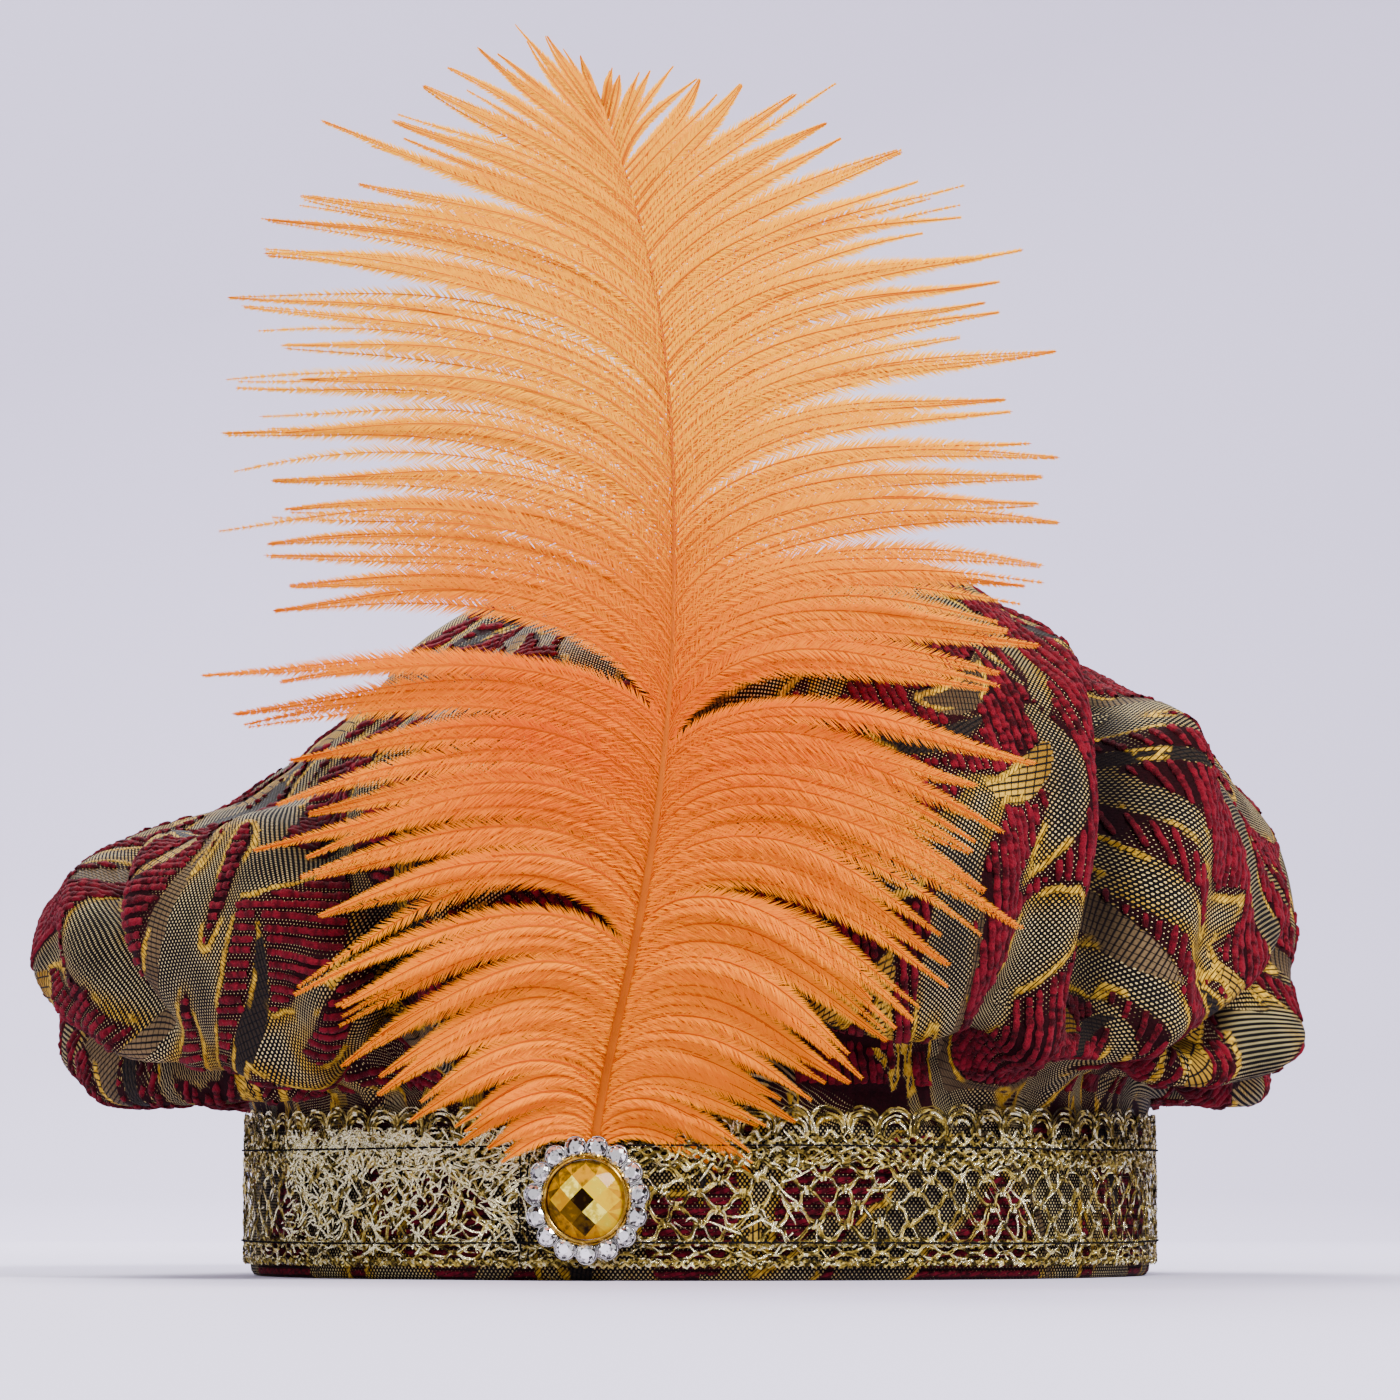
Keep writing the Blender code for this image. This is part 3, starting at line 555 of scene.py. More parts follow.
def woven_figures(cloth):
    """For each kind, how far inside its strokes each place lies, the most of them all. Plush fills what the
    net leaves, and the petals inside it; the tan, gold and dark strokes lie over both."""
    found = {kind: np.full(len(cloth), -50.0) for kind in ("net", "petal", "tan", "gold", "dark")}
    for row in STROKES:
        found[row[0]] = np.maximum(found[row[0]], stroke_reach(cloth, row))
    plush = np.maximum(-found.pop("net"), found.pop("petal"))
    for kind in ("tan", "gold", "dark"):
        plush = np.minimum(plush, -found[kind])
    found["plush"] = plush
    return found


crown_figures = woven_figures(crown_cloth)
print("share of plush:", round(float((crown_figures["plush"] > 0).mean()), 2))

# %% [markdown]
# ## The brocade's finish
#
# The ground's floats sit in a staggered lattice. Two cosines, one along the weft and one along the warp,
# add up to peaks in exactly that order, so one sum and one threshold draw every float. Floats grow larger
# and yellower near a figure's edge, as the weaver's drawing makes them there.

# %% The brocade
FLOAT_PITCH = (0.92, 1.22)


def brocade(name, woven_ropes=False, shade=0.0):
    """A ground of gold floats on black, with the figures laid over it where the mesh's values say how far
    inside one a point is. woven_ropes draws the chenille where none is modelled, and shade darkens it all:
    painted shade, as under the lace. The mesh's fold value adds painted shade in the folds."""
    f = Finish(name, Roughness=0.8, Specular_IOR_Level=0.06)

    def wave(operation, angle):
        return f.node("ShaderNodeMath", {"operation": operation}, {0: angle})

    def lines(place, pitch, low, high):
        """Stripes with one dark line to each pitch: |sin| of the place, cut between low and high."""
        return wave("ABSOLUTE", wave("SINE", place * (math.pi / pitch))).between(low, high)

    a, b = f.cloth()
    plush, tan, gold, dark = (f.attribute(key) for key in ("plush", "tan", "gold", "dark"))
    where = f.place(1.0)
    cloud = f.noise(where, 38.0, 3.0)
    patch = f.noise(where, 75.0, 1.0)
    fuzz = f.noise(where, 900.0, 2.0)
    ragged = (fuzz - 0.5) * 1.3
    lattice = wave("COSINE", a * (2 * math.pi / FLOAT_PITCH[0]))
    lattice = lattice + wave("COSINE", b * (2 * math.pi / FLOAT_PITCH[1]))
    lattice = wave("ABSOLUTE", lattice) * 0.5
    near_edge = plush.between(-5.0, -0.4)
    rich = near_edge * 0.5 + cloud.between(0.45, 0.7) * 0.5
    size = 0.74 - rich * 0.19 + ragged * 0.04
    dot = (lattice - size).between(-0.05, 0.10)
    pale = f.mix(cloud.between(0.35, 0.65), (0.34, 0.258, 0.12), (0.76, 0.60, 0.26))
    yellow = f.mix(fuzz.between(0.3, 0.7), (0.34, 0.17, 0.006), (0.72, 0.43, 0.035))
    floats = f.mix(rich.between(0.25, 0.85), pale, yellow)
    black = f.mix(fuzz, (0.001, 0.001, 0.001), (0.009, 0.008, 0.009))
    ground = f.mix(dot, black, floats)
    ribs = lines(b + a * 0.35, 0.95, 0.22, 0.80) * lines(a - b * 0.2, 1.3, 0.04, 0.35)
    tan_yarn = f.mix(cloud.between(0.3, 0.7), (0.055, 0.034, 0.016), (0.17, 0.110, 0.050))
    tan_colour = f.mix(ribs, black, tan_yarn)
    bars = lines(a, 1.15, 0.26, 0.80) * lines(b + 0.5 * a, 2.2, 0.10, 0.38)
    gold_thread = f.mix(cloud.between(0.35, 0.65), (0.20, 0.095, 0.006), (0.56, 0.33, 0.035))
    gold_colour = f.mix(bars, black, gold_thread)
    dark_ribs = lines(a + b * 0.2, 0.9, 0.3, 0.9) * lines(b - a * 0.3, 1.3, 0.1, 0.4)
    dark_colour = f.mix(dark_ribs, black, (0.022, 0.015, 0.010))
    edge = plush + ragged
    outline = edge.between(-1.5, -1.1) * (1 - edge.between(-0.5, -0.1)) * patch.between(0.51, 0.56)
    twist = lines(a + b, 1.1, 0.15, 0.5)
    colour = f.mix((tan + ragged).between(-0.2, 0.2), ground, tan_colour)
    colour = f.mix((gold + ragged).between(-0.2, 0.2), colour, gold_colour)
    colour = f.mix((dark + ragged).between(-0.2, 0.2), colour, dark_colour)
    colour = f.mix(outline, colour, f.mix(twist, black, yellow))
    speck = (lattice - 0.90).between(0.0, 0.05) * cloud.between(0.45, 0.55)
    root = f.mix(fuzz, (0.002, 0.001, 0.001), (0.022, 0.002, 0.004))
    in_plush = edge.between(-0.2, 0.2)
    root = f.mix(speck, root, pale)
    height = dot * 0.6 + fuzz * 0.3 + outline * twist * 0.9
    if woven_ropes:
        rope = lines(b, 2.05, 0.2, 0.7) * lines(a + b * 3.0, 3.3, 0.02, 0.3)
        root = f.mix(rope, root, f.mix(fuzz.between(0.3, 0.7), (0.03, 0.001, 0.003), (0.15, 0.004, 0.014)))
        height = height * (1 - in_plush) + rope * in_plush * 2.0
    colour = f.mix(in_plush, colour, root)
    # Painted shade: darker where the mesh says a point lies low in a fold or pleat, and darker all over by
    # the last argument, as painted shade under the lace.
    fold_shade = f.attribute("fold_shade")
    f.set(Base_Color=f.mix(fold_shade * 0.74 + shade, colour, (0.003, 0.001, 0.002)))
    shine = dot * (1 - in_plush)
    f.set(Roughness=0.88 - shine * 0.34)
    f.set(Normal=f.bump(height, 0.00045, 0.9))
    return f


brocade_finish = brocade("brocade")


# %% The crown's mesh: an outer side, a plainer inner side and a turned rim
def crown_piece():
    """The outer grid closed by a point at the top, and an inner side 1.1 mm under it, which has the same
    columns and fewer rows, joined to it at the rim."""
    inner_share = np.linspace(0, 1, 26)[:-1]
    inner_azimuth, inner_grid = (m.ravel() for m in np.meshgrid(crown_azimuth, inner_share))
    base, _ = crown_surface(inner_azimuth, inner_grid)
    rows = base.reshape(len(inner_share), CROWN_COLUMNS, 3)
    around = np.roll(rows, -1, axis=1) - np.roll(rows, 1, axis=1)
    inward = unit(np.cross(np.gradient(rows, axis=0), around))
    inner = (rows + 1.1 * inward).reshape(-1, 3)
    count, tip = len(outer), len(outer) + len(inner)
    points = np.concatenate([outer, inner, [[0, 0, TOP_Z], [0, 0, TOP_Z - 1.2]]])
    first = np.arange(CROWN_COLUMNS)
    after = np.roll(first, -1)
    quads = np.concatenate(
        [
            grid_quads(CROWN_ROWS, CROWN_COLUMNS),
            grid_quads(len(inner_share), CROWN_COLUMNS)[:, ::-1] + count,
            np.stack([after, first, first + count, after + count], axis=1),
        ]
    )
    last_outer = first + (CROWN_ROWS - 1) * CROWN_COLUMNS
    last_inner = first + (len(inner_share) - 1) * CROWN_COLUMNS + count
    tris = np.concatenate(
        [
            np.stack([last_outer, np.roll(last_outer, -1), np.full_like(first, tip)], axis=1),
            np.stack([np.roll(last_inner, -1), last_inner, np.full_like(first, tip + 1)], axis=1),
        ]
    )
    inner_cloth = cloth_places(inner_azimuth, inner_grid)
    middle = cloth_places(np.zeros(2), np.ones(2))
    places = np.concatenate([crown_cloth, inner_cloth, middle])
    inner_figures = woven_figures(np.concatenate([inner_cloth, middle]))
    values = {key: np.concatenate([crown_figures[key], inner_figures[key]]) for key in crown_figures}
    values["fold_shade"] = np.concatenate([outer_fold_shade, np.zeros(len(inner) + 2)])
    return piece_from("crown_brocade", points, quads, brocade_finish, tris, values, places)


crown_cover = crown_piece()
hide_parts("crown")


# %% [markdown]
# ## Chenille
#
# A chenille yarn is a core with short cut fibres all round it, like a soft bottle brush. In this cloth it
# floats over the burgundy figures in ropes 2.25 mm apart, with dark gaps between, and it is far too thick to
# be only a shade of light and dark. So each rope is a lumpy half tube on the crown's surface. Its place
# is worked out on the flat cloth and carried over to the hat, pleats and all.


# %% Chenille ropes
ROPE_PITCH = 2.25
ROPE_STEP = 0.8
ROPE_R = 0.88
ROPE_BEAT = 2.3
FOLD_SHADE_ROWS = outer_fold_shade.reshape(CROWN_ROWS, CROWN_COLUMNS, 1)
outer_rows = outer.reshape(CROWN_ROWS, CROWN_COLUMNS, 3)


def azimuth_of_cloth(angle, share):
    """The azimuth whose pleated angle is the given one, found by eight steps of Newton's rule."""
    azimuth = np.degrees(angle)
    for _ in range(8):
        pull = pleat_pull(share) / PLEATS
        error = np.radians(azimuth) + pull * np.sin(pleat_phase(azimuth)) - angle
        slope = 1 + pull * np.cos(pleat_phase(azimuth)) * PLEATS
        azimuth = azimuth - np.degrees(error / slope) * 0.8
    return azimuth


def from_grid(grid, azimuth, share):
    """A value of the crown's grid between its points: the mean of the four round it, by nearness."""
    column = (azimuth + 180) % 360 * CROWN_COLUMNS / 360
    row = np.interp(share, crown_share, np.arange(CROWN_ROWS))
    c0, r0 = np.floor(column).astype(int) % CROWN_COLUMNS, np.minimum(row.astype(int), CROWN_ROWS - 2)
    c1, dc, dr = (c0 + 1) % CROWN_COLUMNS, (column % 1)[:, None], (row - r0)[:, None]
    low = grid[r0, c0] * (1 - dc) + grid[r0, c1] * dc
    high = grid[r0 + 1, c0] * (1 - dc) + grid[r0 + 1, c1] * dc
    return low * (1 - dr) + high * dr


def chenille():
    """Half tubes along lines of the flat cloth, one pitch apart, wherever the plush figures are. The radius
    swells and shrinks along the rope and narrows to a third at a figure's edge."""
    reach = ARC_FROM_TOP[0]
    lines = np.arange(-reach, reach, ROPE_PITCH)
    along = np.arange(-reach, reach, ROPE_STEP)
    a, b = np.meshgrid(along, lines)
    b = b + 0.22 * np.sin(a / 7.0 + b * 1.7)
    flat = np.stack([a.ravel(), b.ravel()], axis=1)
    plush = woven_figures(flat)["plush"]
    s = np.hypot(flat[:, 0], flat[:, 1])
    share = np.interp(-s, -ARC_FROM_TOP, ARC_SHARES)
    turn = math.radians(WEFT_TURN)
    x = flat[:, 0] * math.cos(turn) - flat[:, 1] * math.sin(turn)
    y = flat[:, 0] * math.sin(turn) + flat[:, 1] * math.cos(turn)
    azimuth = azimuth_of_cloth(np.arctan2(x, -y), share)
    random = np.random.default_rng(11)
    ragged = np.repeat(random.uniform(-0.9, 0.7, len(lines)), len(along))
    plush = plush + ragged * np.cos(flat[:, 0] / 9.0 + ragged * 7)
    wanted = (plush > 0.15) & (share > 0.03) & (share < 0.995)
    points = from_grid(outer_rows, azimuth, share)
    side = np.gradient(outer_rows, axis=0)
    round_it = np.roll(outer_rows, -1, axis=1) - np.roll(outer_rows, 1, axis=1)
    normal = unit(from_grid(unit(np.cross(round_it, side)), azimuth, share))
    shape = (*a.shape, 3)
    points, normal = points.reshape(shape), normal.reshape(shape)
    run = unit(np.gradient(points, axis=1))
    across = np.cross(normal, run)
    phase = random.uniform(0, math.pi, (len(lines), 1)) + 1.3 * np.sin(a / 3.1 + b * 5)
    phase = phase + 0.8 * np.sin(a / 7.3 - b)
    beat = np.abs(np.sin(a * math.pi / ROPE_BEAT + phase))
    smooth = np.clip(0.30 - 0.6 * waves(flat, 34, 31), 0.0, 0.70).reshape(a.shape)
    beat = beat + (1 - beat) * smooth
    radius = ROPE_R * (0.66 + 0.34 * beat**0.5) * random.uniform(0.84, 1.16, a.shape)
    radius = radius * (0.35 + 0.65 * soft_step(plush, 0.0, 1.0)).reshape(a.shape)
    angle = np.radians([-20, 50, 130, 200])
    ring = np.cos(angle)[:, None] * across[:, :, None] + np.sin(angle)[:, None] * normal[:, :, None] * 0.85
    fluff = random.uniform(0.72, 1.24, (*a.shape, 4, 1))
    ring = points[:, :, None] + ring * radius[:, :, None, None] * fluff
    keep = wanted.reshape(a.shape)
    near = np.linalg.norm(np.diff(points, axis=1), axis=2) < 3.2 * ROPE_STEP
    joined = keep[:, :-1] & keep[:, 1:] & near
    base = np.arange(a.size).reshape(a.shape)[:, :-1][joined]
    corners = np.arange(3)
    low = base[:, None] * 4 + corners
    high = low + 4
    quads = np.stack([low, low + 1, high + 1, high], axis=-1).reshape(-1, 4)
    # rise is 0 at the rope's foot on the cloth and 0.9 at its top. The finish paints shade at the foot, at
    # the pinches by beat, and in the folds.
    values = {
        "tone": np.repeat(random.uniform(0, 1, a.size), 4),
        "rise": np.tile([0.0, 0.9, 0.9, 0.0], a.size),
        "beat": np.repeat(beat.ravel(), 4),
        "fold_shade": np.repeat(from_grid(FOLD_SHADE_ROWS, azimuth, share)[:, 0], 4),
    }
    return ring.reshape(-1, 3), quads, values


def part_of(points, quads, values, chosen):
    """Some of the quads, with only the points that they use."""
    used, quads = np.unique(quads[chosen], return_inverse=True)
    return points[used], quads.reshape(-1, 4), {key: numbers[used] for key, numbers in values.items()}


def plush_finish():
    """Burgundy fibres, each with its own tone. Painted shade makes the ropes darkest at their foot on the
    cloth, at their pinches and in a fold.
    """
    f = Finish("chenille", Roughness=0.95, Specular_IOR_Level=0.1)
    f.set(Sheen_Weight=0.08, Sheen_Roughness=0.35, Sheen_Tint=(1.0, 0.30, 0.36))
    where = f.place(1.0)
    fine = f.noise(where, 1500.0, 3.0, 0.7)
    broad = f.noise(where, 30.0, 2.0)
    tone = f.attribute("tone") * 0.35 + fine * 0.65
    colour = f.mix(tone.between(0.32, 0.70), (0.020, 0.0007, 0.002), (0.175, 0.0050, 0.014))
    colour = f.mix(broad.between(0.4, 0.7) * 0.35, colour, (0.14, 0.003, 0.011))
    # Painted shade: nearly black at the rope's foot and at its pinches, then darker in the folds.
    pinch_shade = f.attribute("beat").between(0.0, 0.36)
    colour = f.mix(f.attribute("rise").between(0.0, 0.5) * pinch_shade, (0.012, 0.001, 0.003), colour)
    colour = f.mix(f.attribute("fold_shade") * 0.82, colour, (0.004, 0.0, 0.001))
    f.set(Base_Color=colour, Normal=f.bump(fine, 0.0008, 1.0))
    return f


rope_points, rope_quads, rope_values = chenille()
rope_finish = plush_finish()
at_front = rope_points[rope_quads[:, 0], 1] < 0
for name, chosen in (("front", at_front), ("back", ~at_front)):
    half_points, half_quads, half_values = part_of(rope_points, rope_quads, rope_values, chosen)
    ropes = piece_from(f"chenille_ropes_{name}", half_points, half_quads, rope_finish, values=half_values)


# %% [markdown]
# ## The headband
#
# The headband is a strip of the same brocade, folded over and sewn into a loop. Its lower fold is round and
# soft, and it shows as a narrow edge under the lace and through the lace's holes. The section is carried
# round the head once, and the pattern runs along the strip.

# %% Headband
BAND_COLUMNS = 720
BAND_SECTION = (
    # radius, height
    (93.4, 30.4),
    (94.2, 30.9),
    (95.2, 30.8),
    (95.75, 29.9),
    (95.8, 28.6),
    (95.7, 22.0),
    (95.7, 15.0),
    (95.7, 8.0),
    (95.8, 2.6),
    (95.6, 1.1),
    (95.0, 0.25),
    (94.3, 0.02),
    (93.6, 0.5),
    (93.2, 2.0),
    (93.2, 12.0),
    (93.2, 24.0),
)


def headband():
    """The section as a closed loop, carried round the head. The outer side stands in and out by a tenth of a
    millimetre in slow waves, and the lower fold stays on the table. Its figures are drawn thinner."""
    section = np.array(BAND_SECTION)
    rows = np.concatenate([np.linspace(k, k + 1, 6)[:-1] for k in range(4, 8)])
    rows = np.concatenate([np.arange(4), rows, np.arange(8, len(section))])
    section = np.stack([np.interp(rows, np.arange(len(section)), column) for column in section.T], axis=1)
    angle = 2 * math.pi * np.arange(BAND_COLUMNS) / BAND_COLUMNS
    r = np.repeat(section[:, :1], BAND_COLUMNS, axis=1)
    z = np.repeat(section[:, 1:], BAND_COLUMNS, axis=1)
    r = r + 0.12 * np.sin(angle * 19) * np.sin(angle * 7 + 1) * soft_step(z, 0.3, 3.0)
    points = np.stack([r * np.sin(angle), -r * np.cos(angle), z], axis=-1).reshape(-1, 3)
    rows = len(section)
    quads = grid_quads(rows, BAND_COLUMNS)[:, ::-1]
    last = np.arange(BAND_COLUMNS) + (rows - 1) * BAND_COLUMNS
    first = np.arange(BAND_COLUMNS)
    lap = np.stack([last, first, np.roll(first, -1), np.roll(last, -1)], axis=1)[:, ::-1]
    quads = np.concatenate([quads, lap])
    run = np.cumsum(np.linalg.norm(np.diff(section, axis=0, prepend=section[:1]), axis=1))
    u = np.tile(angle * BAND_R, rows)
    cloth = np.stack([u, np.repeat(run, BAND_COLUMNS)], axis=1)
    turned = np.stack([cloth[:, 0] + 30, cloth[:, 1] + 20], axis=1)
    period = 2 * math.pi * BAND_R
    figures = woven_figures(turned)
    figures["plush"] = figures["plush"] - 0.8
    figures["gold"] = figures["gold"] - 2.2
    figures["tan"] = figures["tan"] - 1.6
    # The band's cloth is darkened by 0.38 as painted shade under the lace.
    return piece_from(
        "headband_brocade", points, quads, brocade("band_brocade", True, 0.38), values=figures, cloth=cloth,
        period=period,
    )


band_cover = headband()
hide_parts("headband")


# %% [markdown]
# ## Metallic lace
#
# The lace is made on a machine from flat metallic yarn, two to five yarns to each leg of the net. From the
# bottom it has a braided cord, a row of small holes, a second cord, rows of large rounded holes, rows of
# smaller ones, a dense band and an edge of little arches. A net of rounded holes is a stack of waves: each
# wave's crests touch the troughs of the next, whose phase is turned by half. So a table of wave courses
# draws it all, and each yarn is a thin flat ribbon that leans this way and that to catch the light. Glints
# and dark spots are painted along each yarn as well.

# %% The lace's courses, in mm
LACE_R = 96.75
LACE_GIRTH = 2 * math.pi * LACE_R
LACE_PITCHES = 84
LACE_PITCH = LACE_GIRTH / LACE_PITCHES
LACE_COURSES = (
    # name, base, swing, waves_per_pitch, half_turn, yarns, spread, width
    ("hem_cord_low", 3.2, 0.34, 4.0, 0, 3, 0.26, 0.46),
    ("hem_cord_high", 3.6, 0.34, 4.0, 1, 3, 0.26, 0.46),
    ("small_net_1", 4.7, 0.62, 1.0, 0, 3, 0.24, 0.34),
    ("small_net_2", 6.0, 0.62, 1.0, 1, 3, 0.24, 0.34),
    ("cord_low", 7.1, 0.26, 4.0, 0, 3, 0.22, 0.44),
    ("cord_high", 7.4, 0.26, 4.0, 1, 3, 0.22, 0.44),
    ("net_1", 9.2, 1.45, 1.0, 0, 4, 0.46, 0.32),
    ("net_2", 12.6, 1.45, 1.0, 1, 4, 0.46, 0.32),
    ("net_3", 16.0, 1.45, 1.0, 0, 4, 0.46, 0.32),
    ("net_4", 18.9, 1.20, 1.0, 1, 4, 0.46, 0.32),
    ("net_5", 21.2, 0.95, 1.0, 0, 4, 0.44, 0.32),
    ("fine_1", 22.7, 0.60, 2.0, 1, 4, 0.40, 0.34),
    ("dense_1", 23.5, 0.55, 2.5, 1, 3, 0.30, 0.44),
    ("dense_2", 24.4, 0.45, 2.5, 0, 3, 0.30, 0.44),
    ("dense_3", 25.3, 0.45, 2.5, 1, 3, 0.30, 0.44),
    ("dense_4", 26.2, 0.45, 2.5, 0, 3, 0.30, 0.44),
    ("dense_5", 27.1, 0.50, 2.5, 1, 3, 0.30, 0.44),
    ("foot_of_arches", 28.2, 0.65, 2.0, 0, 3, 0.30, 0.42),
)
LACE_ARCHES = (
    # height of the arch, half width as a share of the pitch, yarns, spread
    (3.1, 0.36, 2, 0.22),
    (4.2, 0.46, 2, 0.24),
    (5.1, 0.54, 3, 0.30),
)
ARCH_FOOT = 28.6
LACE_KNOTS = (
    # height, shift in pitches
    (10.9, 0.0),
    (14.3, 0.5),
    (17.6, 0.0),
    (20.2, 0.5),
)
STRAYS = 860
LAP_STRAYS = 620
LAP_AZIMUTH = -40.0


def ribbons(u, height, out, width, lean):
    """Flat yarns round the band. Each point's width lies square to the yarn, leaning out of the lace's face
    by the given angle: the cosine of it in the face, and the sine outwards."""
    angle = u / LACE_R
    r = LACE_R + out
    points = np.stack([r * np.sin(angle), -r * np.cos(angle), height], axis=-1)
    along = unit(np.gradient(points, axis=1))
    outward = np.stack([np.sin(angle), -np.cos(angle), np.zeros_like(angle)], axis=-1)
    side = unit(np.cross(outward, along))
    across = np.cos(lean)[..., None] * side + np.sin(lean)[..., None] * outward
    half = 0.5 * np.broadcast_to(width, u.shape)[..., None]
    return np.stack([points - across * half, points + across * half], axis=2).reshape(-1, 3)


def ribbon_quads(count, steps, start=0):
    """Corner numbers of count ribbons with two corners at each step, after start other corners."""
    k = np.arange(steps - 1) * 2
    one = np.stack([k, k + 2, k + 3, k + 1], axis=-1)
    return (one[None] + start + np.arange(count)[:, None, None] * steps * 2).reshape(-1, 4)


def lace_drift(u, height):
    """How the whole net is pulled out of true, along the band and up it, the same for all its yarns: sums of
    two slow sines of whole turns round the head, the hem and top line moved less than the middle."""
    a = u / LACE_R
    along = 0.75 * np.sin(17 * a + height * 0.35) + 0.45 * np.sin(31 * a - height * 0.5 + 1.0)
    rise = 0.42 * np.sin(13 * a + 2.0 + height * 0.11) + 0.28 * np.sin(29 * a + height * 0.2)
    inside = soft_step(height, 3.5, 9.0) * (0.4 + 0.6 * (1 - soft_step(height, 24.0, 30.0)))
    return u + along * inside, height + rise * inside


def wander(random, shape, knots, size):
    """Slow random drift along each row: random values at evenly spaced knots, joined by straight lines."""
    values = random.normal(0, size, (shape[0], knots))
    at = np.linspace(0, knots - 1.001, shape[1])
    k = at.astype(int)
    t = at - k
    t = t * t * (3 - 2 * t)
    return values[:, k] * (1 - t) + values[:, k + 1] * t


def lace():
    """All the courses, arches, knots and strays as ribbons. Each yarn of a course keeps its own small offset
    in height and drifts a little, so a leg of the net is a loose bundle. Most strays lie where the lace is
    lapped over itself."""
    random = np.random.default_rng(3)
    parts, faces, tones, start = [], [], [], 0

    def add(u, height, out, width, lean, power=1.25):
        """Some ribbons more. Their tones change every second step, and a low power makes them bright: more of
        them get painted glints.
        """
        nonlocal start
        count, steps = u.shape
        u, height = lace_drift(u, height)
        parts.append(ribbons(u, height, out, width, lean))
        faces.append(ribbon_quads(count, steps, start))
        runs = np.repeat(random.uniform(0, 1, (count, steps // 2 + 1)) ** power, 2, axis=1)[:, :steps]
        tones.append(np.repeat(runs, 2, axis=1).ravel())
        start += count * steps * 2

    steps = 14 * LACE_PITCHES + 1
    for _, base, swing, turns, half_turn, yarns, spread, width in LACE_COURSES:
        u = np.tile(np.linspace(0, LACE_GIRTH, steps), (yarns, 1))
        phase = 2 * math.pi * turns * u / LACE_PITCH + math.pi * half_turn
        offset = np.linspace(-spread, spread, yarns)[:, None]
        crest = np.tanh(1.7 * np.cos(phase)) / math.tanh(1.7)
        height = base + swing * crest + offset + wander(random, u.shape, 300, 0.07)
        u = u + wander(random, u.shape, 240, 0.09)
        order = random.uniform(0, 2 * math.pi, (yarns, 1))
        out = 0.35 + 0.22 * np.sin(phase + order) + random.uniform(-0.06, 0.06, u.shape)
        lean = wander(random, u.shape, 420, 0.75)
        add(u, height, out, width, lean)
    steps = 16
    for rise, half, yarns, spread in LACE_ARCHES:
        for offset in np.linspace(-spread, spread, yarns):
            angle = np.tile(np.linspace(0.0, math.pi, steps), (LACE_PITCHES, 1))
            middle = (np.arange(LACE_PITCHES)[:, None] + 0.5) * LACE_PITCH
            size = 1 + random.normal(0, 0.05, (LACE_PITCHES, 1))
            u = middle - (half * LACE_PITCH + offset * 0.6) * size * np.cos(angle)
            height = ARCH_FOOT + (rise + offset) * size * np.sin(angle) ** 0.8
            height = height + random.normal(0, 0.07, u.shape)
            out = 0.3 + random.uniform(-0.15, 0.3, u.shape)
            add(u, height, out, 0.4, wander(random, u.shape, 9, 0.7))
    middle, shifted = np.tile(np.array(LACE_KNOTS).T, LACE_PITCHES)[..., None]
    turn = np.repeat(np.arange(LACE_PITCHES), len(LACE_KNOTS))[:, None]
    u = (turn + shifted) * LACE_PITCH + np.linspace(-0.15, 0.15, 4)
    height = middle + np.linspace(-0.9, 0.9, 4)
    for shift in (-0.3, 0.05, 0.4):
        out = 0.62 + random.uniform(-0.1, 0.1, u.shape)
        add(u + shift, height, out, 0.42, wander(random, u.shape, 4, 0.6))
    in_lap = np.arange(STRAYS)[:, None] < LAP_STRAYS
    crowd = np.concatenate([np.full(LAP_STRAYS, LAP_AZIMUTH), random.uniform(-180, 180, STRAYS - LAP_STRAYS)])
    middle = np.radians(crowd + random.uniform(-20, 20, STRAYS))[:, None] * LACE_R
    level = 28.5 - 22.5 * random.uniform(0, 1, (STRAYS, 1)) ** np.where(in_lap, 1.7, 1.0)
    way = random.uniform(-1.25, 1.25, (STRAYS, 1))
    size = random.uniform(2.6, 8.0, (STRAYS, 1))
    t = np.linspace(-0.5, 0.5, 9)
    bow = random.uniform(-1.2, 1.2, (STRAYS, 1)) * (0.25 - t**2) * 4
    u = middle + size * t * np.cos(way) - bow * np.sin(way)
    height = np.clip(level + size * t * np.sin(way) + bow * np.cos(way), 4.0, 30.0)
    # The strays get a low power, so most of them carry painted glints.
    add(u, height, 0.5 + random.uniform(-0.1, 0.35, u.shape), 0.38, wander(random, u.shape, 4, 0.9), 0.16)
    points, quads = np.concatenate(parts), np.concatenate(faces)
    return points, quads, np.concatenate(tones)


def gold_yarn():
    """Metallic yarn whose colour, by each ribbon's tone, runs from painted shade near black over the yarn's
    own gold to painted glints near white. Bright yarn is smoother.
    """
    f = Finish("gold_yarn", Metallic=0.9, Specular_IOR_Level=0.6)
    where = f.place(1.0)
    fine = f.noise(where, 2600.0, 2.0, 0.7)
    tone = f.attribute("tone") * 0.8 + fine * 0.2
    # Painted shade at low tones, the yarn's own gold in the middle and painted glints at the top.
    colour = f.mix(tone.between(0.18, 0.42), (0.022, 0.014, 0.002), (0.27, 0.185, 0.030))
    colour = f.mix(tone.between(0.44, 0.60), colour, (0.76, 0.58, 0.14))
    colour = f.mix(tone.between(0.63, 0.70), colour, (1.0, 0.93, 0.55))
    rough = 0.46 - tone.between(0.45, 0.75) * 0.28
    f.set(Base_Color=colour, Roughness=rough, Normal=f.bump(fine, 0.0006, 1.0))
    return f


lace_points, lace_quads, lace_glint_tone = lace()
lace_piece = piece_from(
    "metallic_lace", lace_points, lace_quads, gold_yarn(), values={"tone": lace_glint_tone}, smooth=False
)
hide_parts("lace_trim")


